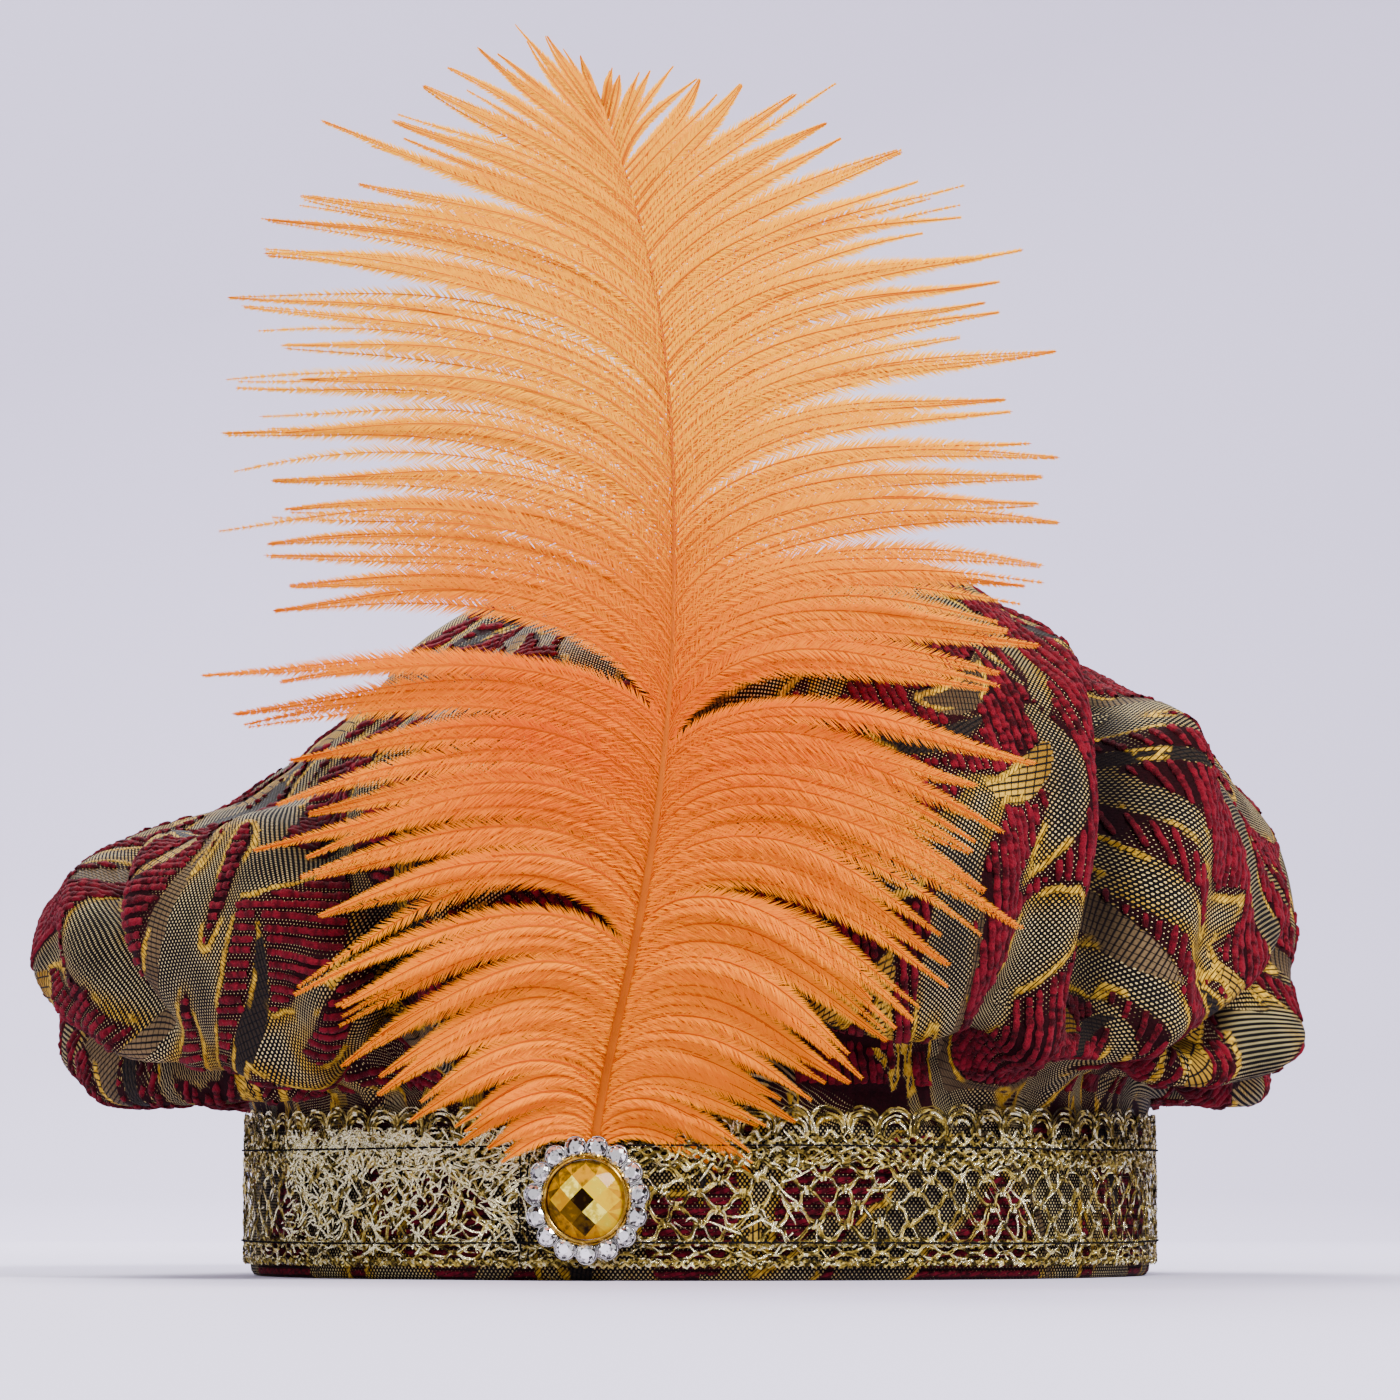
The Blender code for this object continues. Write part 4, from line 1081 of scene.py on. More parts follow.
# %% [markdown]
# ## The machine stitches
#
# Black thread holds the lace to the band: one line runs along the lower cord, one along the dense part
# near the top, and one goes up and down where the lace's two ends lap beside the brooch.


# %% Stitches
STITCH_ROWS = (
    # height, count, wobble
    (7.3, 216, 0.16),
    (26.2, 216, 0.22),
)


def thread_finish():
    """Matt black thread with a fine fibre in it."""
    f = Finish("black_thread", Roughness=0.9, Specular_IOR_Level=0.03)
    fibre = f.noise(f.place(1.0), 3000.0, 2.0)
    f.set(Base_Color=f.mix(fibre, (0.002, 0.002, 0.002), (0.010, 0.009, 0.010)))
    return f


def stitches():
    """Short rods along a line, each sunk at both ends: the height above the lace is the sine along it."""
    rows = []
    t = np.linspace(0, 1, 6)
    for height, count, wobble in STITCH_ROWS:
        start = np.arange(count)[:, None] * LACE_GIRTH / count
        u = start + t * LACE_GIRTH / count * 0.88
        z = height + wobble * np.sin(start / 23.0 + 1) + 0 * t
        rows.append((u, z))
    seam = np.arange(10)[:, None]
    z = 3.6 + seam * 2.7 + t * 2.1
    rows.append((math.radians(-21.3) * LACE_R + 0.25 * np.sin(seam * 1.3) + 0 * t, z))
    rows.append((math.radians(-20.2) * LACE_R + 0.2 * np.sin(seam * 1.9) + 0 * t, z + 0.4))
    u, z = np.concatenate([r[0] for r in rows]), np.concatenate([r[1] for r in rows])
    angle = u / LACE_R
    r = LACE_R + 0.66 + 0.30 * np.sin(math.pi * t)[None]
    lines = np.stack([r * np.sin(angle), -r * np.cos(angle), z], axis=-1)
    radii = np.full(u.shape, 0.19)
    points, quads = tubes(lines, radii, 4)
    piece = piece_from("black_stitches", points, quads, thread_finish())


stitches()

# %% [markdown]
# ## The brooch
#
# A cheap and cheerful jewel: a moulded amber stone in a gilt bezel with a fine serrated edge, and fifteen
# small stones in claws round it. The amber stone has a chequerboard cut and a foil behind it. Each facet's
# reflection is painted into its colour, from white to gold, olive and brown, over the stone's own amber.
# Its facets are flat, and each gets its shade by a number.

# %% The brooch's own frame
BROOCH_AZIMUTH = math.radians(-12.5)
BROOCH_Z = 15.8
BROOCH_BACK = 100.3
CUPS = 15
CUP_RING = 10.45


def brooch_place(points):
    """From the brooch's own frame, whose back lies in the XY plane, to the hat's front."""
    outward = np.array([math.sin(BROOCH_AZIMUTH), -math.cos(BROOCH_AZIMUTH), 0])
    right = np.array([math.cos(BROOCH_AZIMUTH), math.sin(BROOCH_AZIMUTH), 0])
    up = np.array([0, 0, 1.0])
    base = outward * BROOCH_BACK + up * BROOCH_Z
    return base + points[..., :1] * right + points[..., 1:2] * up + points[..., 2:] * outward


def lathe(section, sides, at=(0.0, 0.0), swell=0.0, teeth=0):
    """A section of (radius, height) rows carried round an axis at a place. teeth ripple the radius by the
    swell. A first or last row of radius 0 closes the end."""
    section = np.array(section, float)
    angle = 2 * math.pi * np.arange(sides) / sides
    r = section[:, :1] * (1 + swell * np.cos(teeth * angle)[None])
    z = np.repeat(section[:, 1:2], sides, axis=1)
    points = np.stack([at[0] + r * np.cos(angle), at[1] + r * np.sin(angle), z], axis=-1)
    return points.reshape(-1, 3), grid_quads(len(section), sides)


def joined(parts):
    """Several (points, quads) as one."""
    points = np.concatenate([p for p, _ in parts])
    starts = np.cumsum([0] + [len(p) for p, _ in parts[:-1]])
    quads = np.concatenate([q + s for (_, q), s in zip(parts, starts)])
    return points, quads


# %% The setting
def setting_finish():
    """Worn silver, and worn gilt where the mesh's value says so."""
    f = Finish("silver_setting", Metallic=1.0)
    worn = f.noise(f.place(1.0), 420.0, 3.0)
    bright = worn.between(0.35, 0.7)
    silver = f.mix(bright, (0.34, 0.33, 0.31), (0.74, 0.73, 0.70))
    gilt = f.mix(bright, (0.22, 0.11, 0.008), (0.60, 0.38, 0.06))
    f.set(Base_Color=f.mix(f.attribute("gilt"), silver, gilt), Roughness=0.14 + worn * 0.2)
    return f


def setting():
    """Back plate, bezel with a serrated lip, and for each small stone a cup and four claws."""
    cup = [(0.01, 0.1), (2.0, 0.12), (2.15, 0.5), (2.12, 1.7), (2.2, 2.05), (2.02, 2.2), (1.86, 1.9)]
    parts = [
        lathe([(0.01, 0), (11.3, 0), (11.5, 0.4), (11.3, 0.8), (8.0, 0.85), (0.01, 0.9)], 64),
        lathe([(8.55, 0.8), (8.6, 1.9), (8.5, 2.7), (8.25, 3.1), (7.95, 3.15), (7.85, 2.6), (7.9, 1.2)], 144),
        lathe([(8.95, 0.9), (9.05, 1.9), (8.75, 2.45), (8.5, 2.2)], 288, swell=0.012, teeth=72),
    ]
    angles = math.pi / 2 + 2 * math.pi * (np.arange(CUPS) + 0.5) / CUPS
    for angle in angles:
        at = (CUP_RING * math.cos(angle), CUP_RING * math.sin(angle))
        parts.append(lathe(cup, 28, at))
        for claw in range(4):
            way = angle + math.pi / 4 + claw * math.pi / 2
            foot = np.array([at[0] + 2.05 * math.cos(way), at[1] + 2.05 * math.sin(way)])
            head = np.array([at[0] + 1.5 * math.cos(way), at[1] + 1.5 * math.sin(way)])
            t = np.linspace(0, 1, 6)[:, None]
            rise = 1.4 + 1.35 * np.sin(t * math.pi / 2)
            line = np.concatenate([foot * (1 - t**2) + head * t**2, rise], axis=1)
            radius = 0.27 * (1 - 0.55 * t[:, 0] ** 3)
            ring = 2 * math.pi * np.arange(6) / 6
            across = np.array([-math.sin(way), math.cos(way), 0])
            normal = np.array([math.cos(way), math.sin(way), 0])
            circle = np.cos(ring)[None, :, None] * across + np.sin(ring)[None, :, None] * normal
            tube = line[:, None] + circle * radius[:, None, None]
            tip = np.repeat(line[-1][None, None] + [[[0, 0, 0.08]]], 6, axis=1)
            tube = np.concatenate([tube, tip], axis=0)
            parts.append((tube.reshape(-1, 3), grid_quads(7, 6)))
    points, quads = joined(parts)
    gilt = np.concatenate([np.full(len(p), float(k in (1, 2))) for k, (p, _) in enumerate(parts)])
    piece = piece_from("silver_setting", brooch_place(points), quads, setting_finish(), values={"gilt": gilt})
    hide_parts("brooch_setting")


setting()


# %% Stones with flat facets
def facets(name, corners, faces, shades, finish):
    """A stone from corner points and facets of three or four corners, each with a shade of painted
    reflection and its own corners, so that the facets stay flat."""
    faces = [list(face) for face in faces]
    points = brooch_place(np.array([corners[k] for face in faces for k in face], float))
    counts = np.array([len(face) for face in faces])
    starts = np.concatenate([[0], np.cumsum(counts)[:-1]])
    fours = counts == 4
    quads = starts[fours][:, None] + np.arange(4)
    tris = starts[~fours][:, None] + np.arange(3)
    shade = np.repeat(np.asarray(shades, float), counts)
    return piece_from(name, points, quads, finish, tris, {"shade": shade}, smooth=False)


def amber_finish():
    """Foiled amber glass with painted reflections: a facet's shade, clouded and streaked with painted
    glints a little, runs from brown over gold and olive to pale.
    """
    f = Finish("amber_stone", Coat_Weight=0.04, Coat_Roughness=0.03, Specular_IOR_Level=0.04)
    shade = f.attribute("shade")
    cloud = f.noise(f.place(1.0), 330.0, 3.0)
    glints = f.noise(f.place(1.0), 900.0, 2.0)
    # Painted reflections: each facet's shade, with painted glints in it, picks the colour.
    tone = shade + (cloud - 0.5) * 0.42 + (glints - 0.5) * 0.40
    colour = f.mix(tone.between(0.05, 0.34), (0.006, 0.002, 0.0), (0.10, 0.048, 0.0))
    colour = f.mix(tone.between(0.34, 0.54), colour, (0.42, 0.185, 0.0))
    colour = f.mix(tone.between(0.56, 0.76), colour, (0.54, 0.33, 0.0))
    colour = f.mix(tone.between(0.78, 0.92), colour, (0.47, 0.34, 0.01))
    colour = f.mix(tone.between(0.94, 1.04), colour, (0.84, 0.71, 0.09))
    f.set(Base_Color=colour, Roughness=0.09)
    return f


def chequerboard():
    """The amber stone: square facets 3.35 mm wide between a dome's points, z = rise (1 - (u^2 + v^2) / r^2),
    turned by 45 degrees, and a ring of small facets that joins them to the round girdle."""
    radius, rise, size, floor = 7.75, 3.5, 3.35, 2.2
    ticks = size * (np.arange(4) - 1.5)
    grid = {}
    corners, faces, shades = [], [], []
    random = np.random.default_rng(8)

    def dome(u, v):
        """A place of the board on the stone's domed top."""
        turn = math.sqrt(0.5)
        return ((u - v) * turn, (u + v) * turn, floor + rise * (1 - (u * u + v * v) / radius**2))

    for i, u in enumerate(ticks):
        for j, v in enumerate(ticks):
            if math.hypot(u, v) < radius - 0.55:
                grid[i, j] = len(corners)
                corners.append(dome(u, v))
    # Each facet's shade is a painted reflection, from near black to near white.
    board = {
        # (steps to the upper right, steps to the upper left): shade
        (1, 1): 0.04,
        (2, 1): 0.86,
        (1, 2): 0.97,
        (0, 1): 0.30,
        (1, 0): 1.0,
        (2, 2): 0.50,
        (0, 0): 0.20,
        (2, 0): 0.76,
        (0, 2): 0.60,
    }
    for (i, j), first in grid.items():
        around = [(i, j), (i + 1, j), (i + 1, j + 1), (i, j + 1)]
        if all(k in grid for k in around):
            faces.append([grid[k] for k in around])
            shades.append(board.get((i, j), 0.5))
    rim = []
    sides = 32
    for k in range(sides):
        angle = 2 * math.pi * k / sides
        rim.append(len(corners))
        corners.append((radius * math.cos(angle), radius * math.sin(angle), floor))
    edges = {}
    for face in faces:
        for a, b in zip(face, face[1:] + face[:1]):
            edges[a, b] = edges.get((a, b), 0) + 1
    border = {a: b for (a, b) in edges if (b, a) not in edges}
    start = max(border, key=lambda k: corners[k][0])
    loop = [start]
    while border[loop[-1]] != start:
        loop.append(border[loop[-1]])

    def turned(k):
        """A corner's angle round the stone's axis."""
        return math.atan2(corners[k][1], corners[k][0]) % (2 * math.pi)

    def rim_step(k):
        """The girdle corner whose angle is nearest to a corner's own."""
        apart = turned(k) - 2 * math.pi * np.arange(sides) / sides
        return int(np.argmin(np.abs((apart + math.pi) % (2 * math.pi) - math.pi)))

    nearest = [rim_step(k) for k in loop]
    # The ring's facets get painted light: brighter to one side of the stone, with random painted reflections.
    for k, here in enumerate(loop):
        there = loop[(k + 1) % len(loop)]
        s, e = nearest[k], nearest[(k + 1) % len(loop)]
        if e < s:
            e += sides
        half = (s + e) // 2
        for step in range(s, e):
            inner = here if step < half else there
            faces.append([inner, rim[step % sides], rim[(step + 1) % sides]])
            shades.append(0.52 + 0.14 * math.cos(2 * math.pi * s / sides + 0.7) + random.uniform(-0.12, 0.12))
        faces.append([here, rim[half % sides], there])
        shades.append(0.54 + 0.16 * math.cos(2 * math.pi * s / sides + 0.7) + random.uniform(-0.2, 0.2))
    low = []
    for k in range(sides):
        angle = 2 * math.pi * k / sides
        low.append(len(corners))
        corners.append((radius * 0.97 * math.cos(angle), radius * 0.97 * math.sin(angle), floor - 0.8))
    for k in range(sides):
        after = (k + 1) % sides
        faces.append([low[k], low[after], rim[after], rim[k]])
        shades.append(0.35)
    centre = len(corners)
    corners.append((0, 0, floor - 0.8))
    for k in range(sides):
        faces.append([low[(k + 1) % sides], low[k], centre])
        shades.append(0.3)
    piece = facets("amber_stone", corners, faces, shades, amber_finish())
    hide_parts("brooch_gem")


chequerboard()


def clear_finish():
    """Clear glass with foil behind it: a facet is dark, grey or white by its shade, a painted reflection."""
    f = Finish("clear_stone", Metallic=0.85, Specular_IOR_Level=0.5)
    f.set(Coat_Weight=0.25, Coat_Roughness=0.02)
    shade = f.attribute("shade")
    # Painted sparkle: fine noise shifts each facet's painted reflection.
    spark = f.noise(f.place(1.0), 1400.0, 2.0)
    shade = shade + (spark - 0.5) * 0.9
    colour = f.mix(shade.between(0.20, 0.34), (0.03, 0.028, 0.026), (0.40, 0.39, 0.37))
    colour = f.mix(shade.between(0.42, 0.54), colour, (1.0, 0.99, 0.94))
    f.set(Base_Color=colour, Roughness=0.06)
    return f


def brilliants():
    """Fifteen small round stones. Each has a table of eight corners, a ring of kites that ends on sixteen
    girdle points, and a point below; every facet gets a random shade of painted reflection."""
    random = np.random.default_rng(21)
    corners, faces, shades = [], [], []
    angles = math.pi / 2 + 2 * math.pi * (np.arange(CUPS) + 0.5) / CUPS
    for place in angles:
        x, y = CUP_RING * math.cos(place), CUP_RING * math.sin(place)
        spin = random.uniform(0, math.pi / 4)
        first = len(corners)
        for k in range(8):
            a = spin + k * math.pi / 4
            corners.append((x + 1.02 * math.cos(a), y + 1.02 * math.sin(a), 3.15))
        for k in range(8):
            a = spin + (k + 0.5) * math.pi / 4
            corners.append((x + 1.50 * math.cos(a), y + 1.50 * math.sin(a), 2.88))
        for k in range(16):
            a = spin + k * math.pi / 8
            corners.append((x + 1.87 * math.cos(a), y + 1.87 * math.sin(a), 2.45))
        corners.append((x, y, 3.15))
        corners.append((x, y, 1.5))
        table, middle, rim = first, first + 8, first + 16
        for k in range(8):
            after = (k + 1) % 8
            faces.append([table + k, table + after, first + 32])
            shades.append(0.62 + random.uniform(-0.06, 0.06))
            faces.append([table + k, middle + k, table + after])
            faces.append([table + k, middle + (k - 1) % 8, rim + 2 * k, middle + k])
            faces.append([middle + k, rim + 2 * k, rim + 2 * k + 1])
            faces.append([middle + k, rim + 2 * k + 1, rim + (2 * k + 2) % 16])
            faces.append([rim + (2 * k + 1) % 16, rim + 2 * k, first + 33])
            faces.append([rim + (2 * k + 2) % 16, rim + (2 * k + 1) % 16, first + 33])
            shades.extend(random.uniform(0.0, 1.0, 6))
    piece = facets("clear_stones", corners, faces, shades, clear_finish())
    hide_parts(*[f"rhinestone_{k:02d}" for k in range(1, 16)])


brilliants()

# %% [markdown]
# ## The plume
#
# An ostrich plume has no hooks between its barbs, so each barb hangs free and carries its own two rows of
# soft barbules. The quill's line and the barbs' form come from tables: how long a barb is, how steeply it
# leaves the quill and how far it has bent over at its tip. Neighbouring barbs cling together in locks, and
# here and there two locks part. The barbules are thin triangles, tens of thousands of them.

# %% The plume's tables, in mm and degrees
QUILL_LINE = (
    # x, y, z
    (-21.4, -96.3, 19.0),
    (-20.6, -96.7, 27.5),
    (-19.2, -99.8, 35.5),
    (-17.2, -105.2, 45.0),
    (-13.6, -114.4, 60.0),
    (-10.2, -123.0, 77.0),
    (-7.2, -129.0, 97.0),
    (-5.4, -131.5, 118.0),
    (-5.0, -132.0, 140.0),
    (-5.6, -131.0, 163.0),
    (-8.0, -128.5, 186.0),
    (-12.0, -125.0, 205.0),
    (-17.2, -121.3, 222.0),
    (-19.6, -119.5, 229.0),
)
BARB_FORM = (
    # share, left_length, left_start, left_end, right_length, right_start, right_end, bow, droop
    (0.03, 20, 66, -30, 30, 58, -40, 1.0, 0.0030),
    (0.065, 32, 60, -34, 34, 52, -30, 3.0, 0.0016),
    (0.16, 54, 60, -32, 49, 56, -40, 4.5, 0.0012),
    (0.30, 74, 62, -18, 68, 60, -34, 4.5, 0.0012),
    (0.48, 86, 60, -4, 73, 58, -8, 1.5, 0.0019),
    (0.66, 85, 56, 3, 71, 55, 6, 0.0, 0.0021),
    (0.80, 68, 50, 12, 58, 53, 18, 0.0, 0.0021),
    (0.93, 34, 50, 40, 22, 62, 52, 0.0, 0.0021),
    (0.985, 13, 66, 68, 8, 76, 78, 0.0, 0.0021),
)
PLUME_SPLITS = (
    # side, share, degrees that the barbs part, reach in barbs
    (-1, 0.43, 9.0, 8),
    (-1, 0.225, 10.0, 7),
    (1, 0.41, 11.0, 8),
    (1, 0.93, 12.0, 5),
    (1, 0.60, 4.0, 6),
    (-1, 0.70, 2.5, 7),
)
BARBS = 200
BARB_STEPS = 16
BARBULES = 260


# %% Barbs and barbules
def quill_at(share):
    """Points of the quill's middle line at shares of its length."""
    line = np.array(QUILL_LINE, float)
    length = np.concatenate([[0], np.cumsum(np.linalg.norm(np.diff(line, axis=0), axis=1))])
    return spline_weights(np.asarray(share, float), length / length[-1]) @ line


def barb_lines(side, random):
    """The barbs of one side as rows of points. A barb's angle above level goes from its start to its end as
    1 - (1 - u)^2.6, and its points are the running sum of steps at that angle. Then each barb is drawn
    towards the middle barb of its lock by u^1.9."""
    share = np.linspace(0.028, 0.995, BARBS) + random.normal(0, 0.0011, BARBS)
    share = np.clip(share, 0.026, 0.999)
    form = np.array(BARB_FORM, float)
    row = spline_weights(np.clip(share, 0.03, 0.985), form[:, 0]) @ form[:, 1:]
    length, start, end = (row[:, :3] if side < 0 else row[:, 3:6]).T
    bow, droop = row[:, 6], row[:, 7]
    sizes = random.choice([1, 1, 2, 2, 3, 3, 4, 5], BARBS)
    bounds = np.cumsum(sizes)
    lock = np.searchsorted(bounds[bounds < BARBS], np.arange(BARBS), side="right")
    locks = lock.max() + 1
    counts = np.bincount(lock, minlength=locks)
    firsts = np.concatenate([[0], np.cumsum(counts)[:-1]])
    off = np.abs(np.arange(BARBS) - firsts[lock] - (counts[lock] - 1) / 2) / np.maximum(counts[lock] / 2, 1)
    uneven = random.normal(0, 0.025, BARBS) + random.normal(0, 0.06, locks)[lock]
    length = length * (1.03 - 0.13 * off**1.4 + uneven)
    bend = random.normal(0, 1.0, BARBS) + random.normal(0, 3.0, locks)[lock]
    parting = np.zeros(BARBS)
    for split_side, where, part, reach in PLUME_SPLITS:
        if split_side == side:
            gap = np.arange(BARBS) - (where - 0.028) / 0.967 * (BARBS - 1)
            parting += part * np.sign(gap) * np.exp(-((gap / reach) ** 2))
    u = np.linspace(0, 1, BARB_STEPS + 1)[None]
    curve = 1 - (1 - u) ** 2.6
    local = parting[:, None] * np.exp(-((u / 0.45) ** 2))
    angle = np.radians(start[:, None] + (end - start)[:, None] * curve + bend[:, None] * u**1.4 + local)
    wave = random.uniform(0, 2 * math.pi, (BARBS, 1))
    angle = angle + np.radians(3.5) * np.sin(7.0 * u + wave) * u
    step = (length / BARB_STEPS)[:, None]
    middle = (angle[:, 1:] + angle[:, :-1]) / 2
    zero = np.zeros((BARBS, 1))
    out = np.concatenate([zero, np.cumsum(np.cos(middle) * step, axis=1)], axis=1)
    up = np.concatenate([zero, np.cumsum(np.sin(middle) * step, axis=1)], axis=1)
    back = droop[:, None] * out**2 - 4 * bow[:, None] * u * (1 - u)
    lift = random.normal(0, 1.0, (BARBS, 1)) + random.normal(0, 1.4, locks)[lock][:, None]
    back = back - np.abs(lift) * u**1.2 * (1 + 0.8 * np.sin(4 * u + wave))
    root = quill_at(share)
    lines = np.stack([root[:, :1] + side * out, root[:, 1:2] + back, root[:, 2:] + up], axis=-1)
    centre = np.clip(firsts + counts // 2, 0, BARBS - 1)[lock]
    cling = random.uniform(0.84, 0.98, locks)[lock][:, None, None]
    pull = cling * u[..., None] ** 1.9
    lines = lines * (1 - pull) + lines[centre] * pull
    return lines, share, lock


def barbules(lines, share, lock, random):
    """Two rows of thin triangles along each barb, which lean away from it by 32 to 45 degrees. A triangle
    stands on the barb on a short base and ends in a point; it is longest in the barb's middle."""
    count = len(lines)
    u = np.linspace(0.003, 0.992, BARBULES)[None] + random.normal(0, 0.003, (count, BARBULES))
    at = np.clip(u, 0, 0.9999) * BARB_STEPS
    k = at.astype(int)
    t = (at - k)[..., None]
    rows = np.arange(count)[:, None]
    base = lines[rows, k] * (1 - t) + lines[rows, k + 1] * t
    along = unit(lines[rows, k + 1] - lines[rows, k])
    face = np.array([0.0, -1.0, 0.0])
    across = unit(np.cross(face, along))
    size = np.interp(share, [0.04, 0.2, 0.5, 0.8, 0.92, 1.0], [2.6, 3.5, 3.8, 3.0, 1.9, 0.8])[:, None]
    full = np.sin(math.pi * np.clip(u * 0.88 + 0.06, 0, 1)) ** 0.6
    length = size * (0.40 + 0.60 * full) * (1 - 0.70 * soft_step(u, 0.56, 1.0))
    lock_tone = random.uniform(0.15, 0.9, lock.max() + 1)[lock]
    parts, tones, shares = [], [], []
    for way in (-1, 1):
        lean = np.radians(random.uniform(32, 45, u.shape))[..., None]
        out = random.normal(0.06, 0.14, u.shape)[..., None]
        head = np.cos(lean) * along + way * np.sin(lean) * across + out * face
        reach = (length * random.uniform(0.85, 1.15, u.shape))[..., None]
        foot = (0.29 - 0.09 * u)[..., None] * along
        parts.append(np.stack([base - foot, base + foot, base + head * reach], axis=2))
        tones.append(np.clip(lock_tone[:, None] + random.uniform(-0.25, 0.25, u.shape), 0, 1))
        shares.append(u)
    points = np.stack(parts, axis=2).reshape(-1, 3)
    tone = np.repeat(np.stack(tones, axis=2).ravel(), 3)
    along_barb = np.repeat(np.stack(shares, axis=2).ravel(), 3)
    return points, tone, along_barb


def plume_finish(name, thin):
    """Dyed plume: a Principled surface mixed with light that shines through. It is a little paler and
    yellower towards the plume's tip and the barbs' tips, and a weak painted glow in its own colour stands in
    for light passed between the barbules."""
    f = Finish(name, Roughness=0.8, Specular_IOR_Level=0.0, Emission_Strength=0.14)
    tone = f.attribute("tone")
    tip = f.attribute("reach")
    cloud = f.noise(f.place(1.0), 22.0, 2.0)
    up = f.node("ShaderNodeSeparateXYZ", values={0: f.place(1.0)}, output=2)
    high = up.between(0.105, 0.178)
    low = 1 - up.between(0.045, 0.115)
    if thin:
        colour = f.mix(tone, (0.70, 0.100, 0.0), (0.84, 0.21, 0.0))
        colour = f.mix(cloud.between(0.38, 0.68) * 0.35, colour, (0.86, 0.29, 0.0))
        colour = f.mix(tip.between(0.5, 0.95) * 0.40, colour, (0.90, 0.42, 0.0))
        colour = f.mix(high * 0.80, colour, (0.97, 0.545, 0.004))
        colour = f.mix(low * 0.7, colour, (1.0, 0.36, 0.0))
    else:
        colour = f.mix(tone, (0.44, 0.055, 0.0), (0.68, 0.14, 0.0))
        colour = f.mix(high * 0.5, colour, (0.60, 0.17, 0.0))
    # Painted glow: the emission, 0.14 strong, has the plume's own colour.
    f.set(Base_Color=colour, Emission_Color=colour)
    if thin:
        through = f.node("ShaderNodeBsdfTranslucent", values={"Color": colour})
        surface = Value(f, f.shader.outputs[0])
        both = f.node("ShaderNodeMixShader", values={0: 0.36, 1: surface, 2: through})
        f.plug(f.output.inputs["Surface"], both)
    return f


def quill_finish():
    """The dyed quill, streaked along its length and darker towards its tip."""
    f = Finish("quill", Roughness=0.5, Specular_IOR_Level=0.08)
    streak = f.noise(f.place(1.0), 160.0, 3.0)
    high = f.node("ShaderNodeSeparateXYZ", values={0: f.place(1.0)}, output=2).between(0.08, 0.18)
    colour = f.mix(streak, (0.32, 0.050, 0.0), (0.50, 0.11, 0.0))
    f.set(Base_Color=f.mix(high * 0.7, colour, (0.30, 0.045, 0.0)))
    return f


def plume():
    """Both sides' barbules, all the barbs' shafts as one piece, and the quill, in place of the hidden plume
    part.
    """
    barb_look = plume_finish("dyed_barbs", True)
    shaft_look = plume_finish("dyed_shafts", False)
    shafts = []
    for side, name in ((-1, "left"), (1, "right")):
        random = np.random.default_rng(40 + side)
        lines, share, lock = barb_lines(side, random)
        points, tone, reach = barbules(lines, share, lock, random)
        tris = np.arange(len(points)).reshape(-1, 3)
        made = piece_from(
            f"{name}_barbules", points, [], barb_look, tris, {"tone": tone, "reach": reach}, smooth=False
        )
        u = np.linspace(0, 1, BARB_STEPS + 1)[None]
        radii = np.repeat(0.22 * (1 - 0.65 * u), len(lines), axis=0)
        ring, quads = tubes(lines - (0, 0.22, 0), radii, 3)
        each = (BARB_STEPS + 1) * 3
        shafts.append((ring, quads, np.repeat(random.uniform(0, 0.5, len(lines)), each)))
    ring, quads = joined([(p, q) for p, q, _ in shafts])
    tone = np.concatenate([t for _, _, t in shafts])
    reach = np.tile(np.repeat(np.linspace(0, 1, BARB_STEPS + 1), 3), 2 * BARBS)
    made = piece_from("barb_shafts", ring, quads, shaft_look, values={"tone": tone, "reach": reach})
    share = np.linspace(0, 1, 60)
    line = quill_at(share)[None]
    radius = (0.80 * (1 - share) ** 0.9 + 0.22)[None]
    points, quads = tubes(line, radius, 10, flat=0.7)
    quill = piece_from("quill", points, quads, quill_finish())
    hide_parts("plume")


plume()


# %% [markdown]
# ## The studio
#
# A pale sweep of paper runs under the hat and up behind it, so that there is no horizon. One large soft
# light from the upper right shapes the folds, a weaker one fills the left, and a rim light from behind lets
# the plume glow. The camera looks from just above the table, at the front, with a long lens.


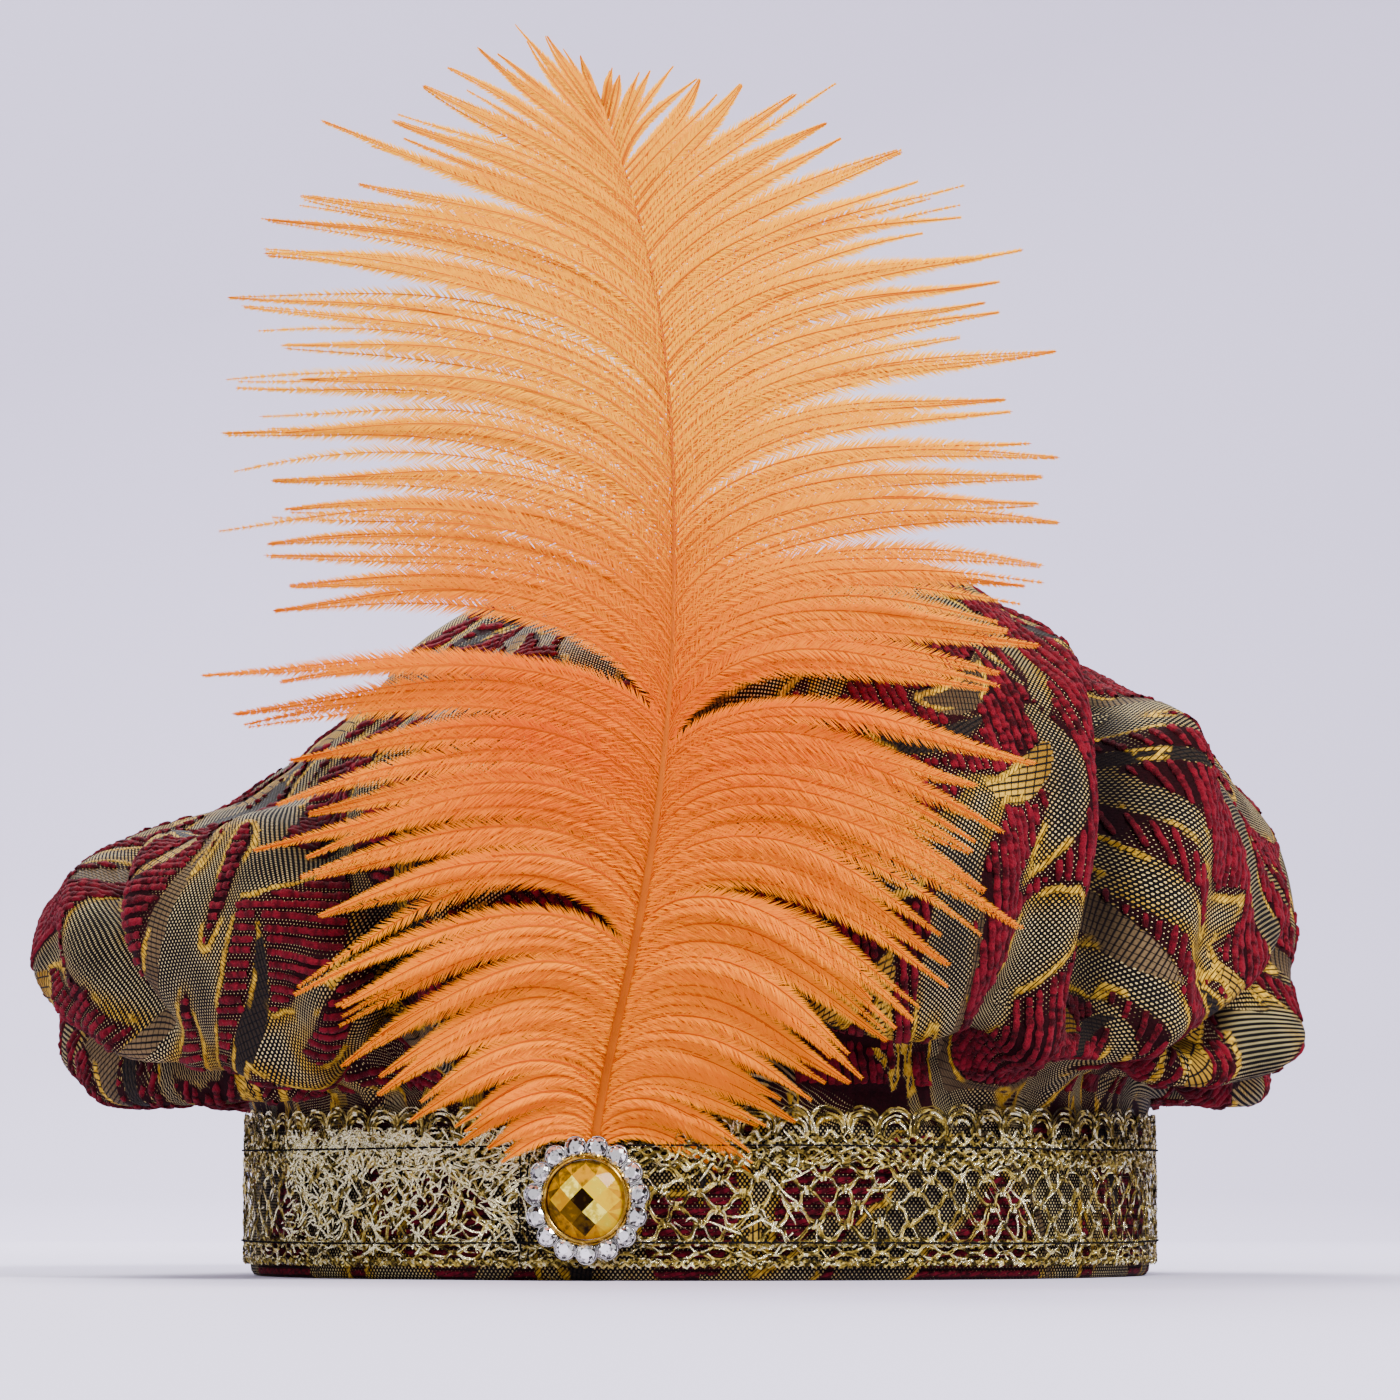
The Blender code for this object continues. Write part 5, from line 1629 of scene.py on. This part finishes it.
# %% Floor, lights and camera
def studio():
    """The sweep of paper, the air's own light and four lamps, each aimed at the hat or at the backdrop."""
    finish = Finish("sweep_paper", Base_Color=(0.60, 0.557, 0.72), Roughness=0.95)
    across = np.linspace(-9000, 9000, 3)
    depth = np.array([-9000, 0, 1200, 1500, 1680, 1760, 1790, 1800, 1800.0])
    height = np.array([0, 0, 0, 20, 90, 200, 400, 900, 3500.0])
    points = np.stack(
        [np.tile(across, len(depth)), np.repeat(depth, len(across)), np.repeat(height, len(across))], axis=1
    )
    sweep = piece_from("studio_sweep", points, grid_quads(len(depth), 3, closed=False), finish)
    world = bpy.data.worlds.new("studio_air")
    world.use_nodes = True
    world.node_tree.nodes["Background"].inputs[0].default_value = (0.80, 0.78, 0.90, 1.0)
    world.node_tree.nodes["Background"].inputs[1].default_value = 0.58
    bpy.context.scene.world = world
    lamps = (
        # name, x, y, z, size, watts
        ("key", 0.9, -1.3, 1.35, 0.5, 86.0),
        ("fill", -1.3, -1.1, 0.8, 1.2, 20.0),
        ("rim", -0.35, 1.1, 1.2, 0.8, 44.0),
        ("backdrop", -1.0, 0.7, 1.9, 1.2, 38.0),
    )
    for name, x, y, z, size, watts in lamps:
        light = bpy.data.lights.new(name, "AREA")
        light.size, light.energy = size, watts
        lamp = bpy.data.objects.new(name, light)
        lamp.location = (x, y, z)
        aim = Vector((-0.35, 1.9, 0.5)) if name == "backdrop" else Vector((0, 0, 0.1))
        lamp.rotation_euler = (aim - lamp.location).to_track_quat("-Z", "Y").to_euler()
        bpy.context.scene.collection.objects.link(lamp)


def camera():
    """A long lens in front of the hat, a little above the table."""
    lens = bpy.data.cameras.new("front_view")
    lens.sensor_width = 36.0
    lens.lens = 131.0
    view = bpy.data.objects.new("front_view", lens)
    view.location = (0.0, -1.096, 0.014)
    aim = Vector((0.0, 0.0, 0.1235))
    view.rotation_euler = (aim - view.location).to_track_quat("-Z", "Y").to_euler()
    bpy.context.scene.collection.objects.link(view)
    bpy.context.scene.camera = view


studio()
camera()

# %% The cloth's cut
flat_round = 2 * ARC_FROM_TOP[0] * MM
math.pi / 4 * flat_round**2
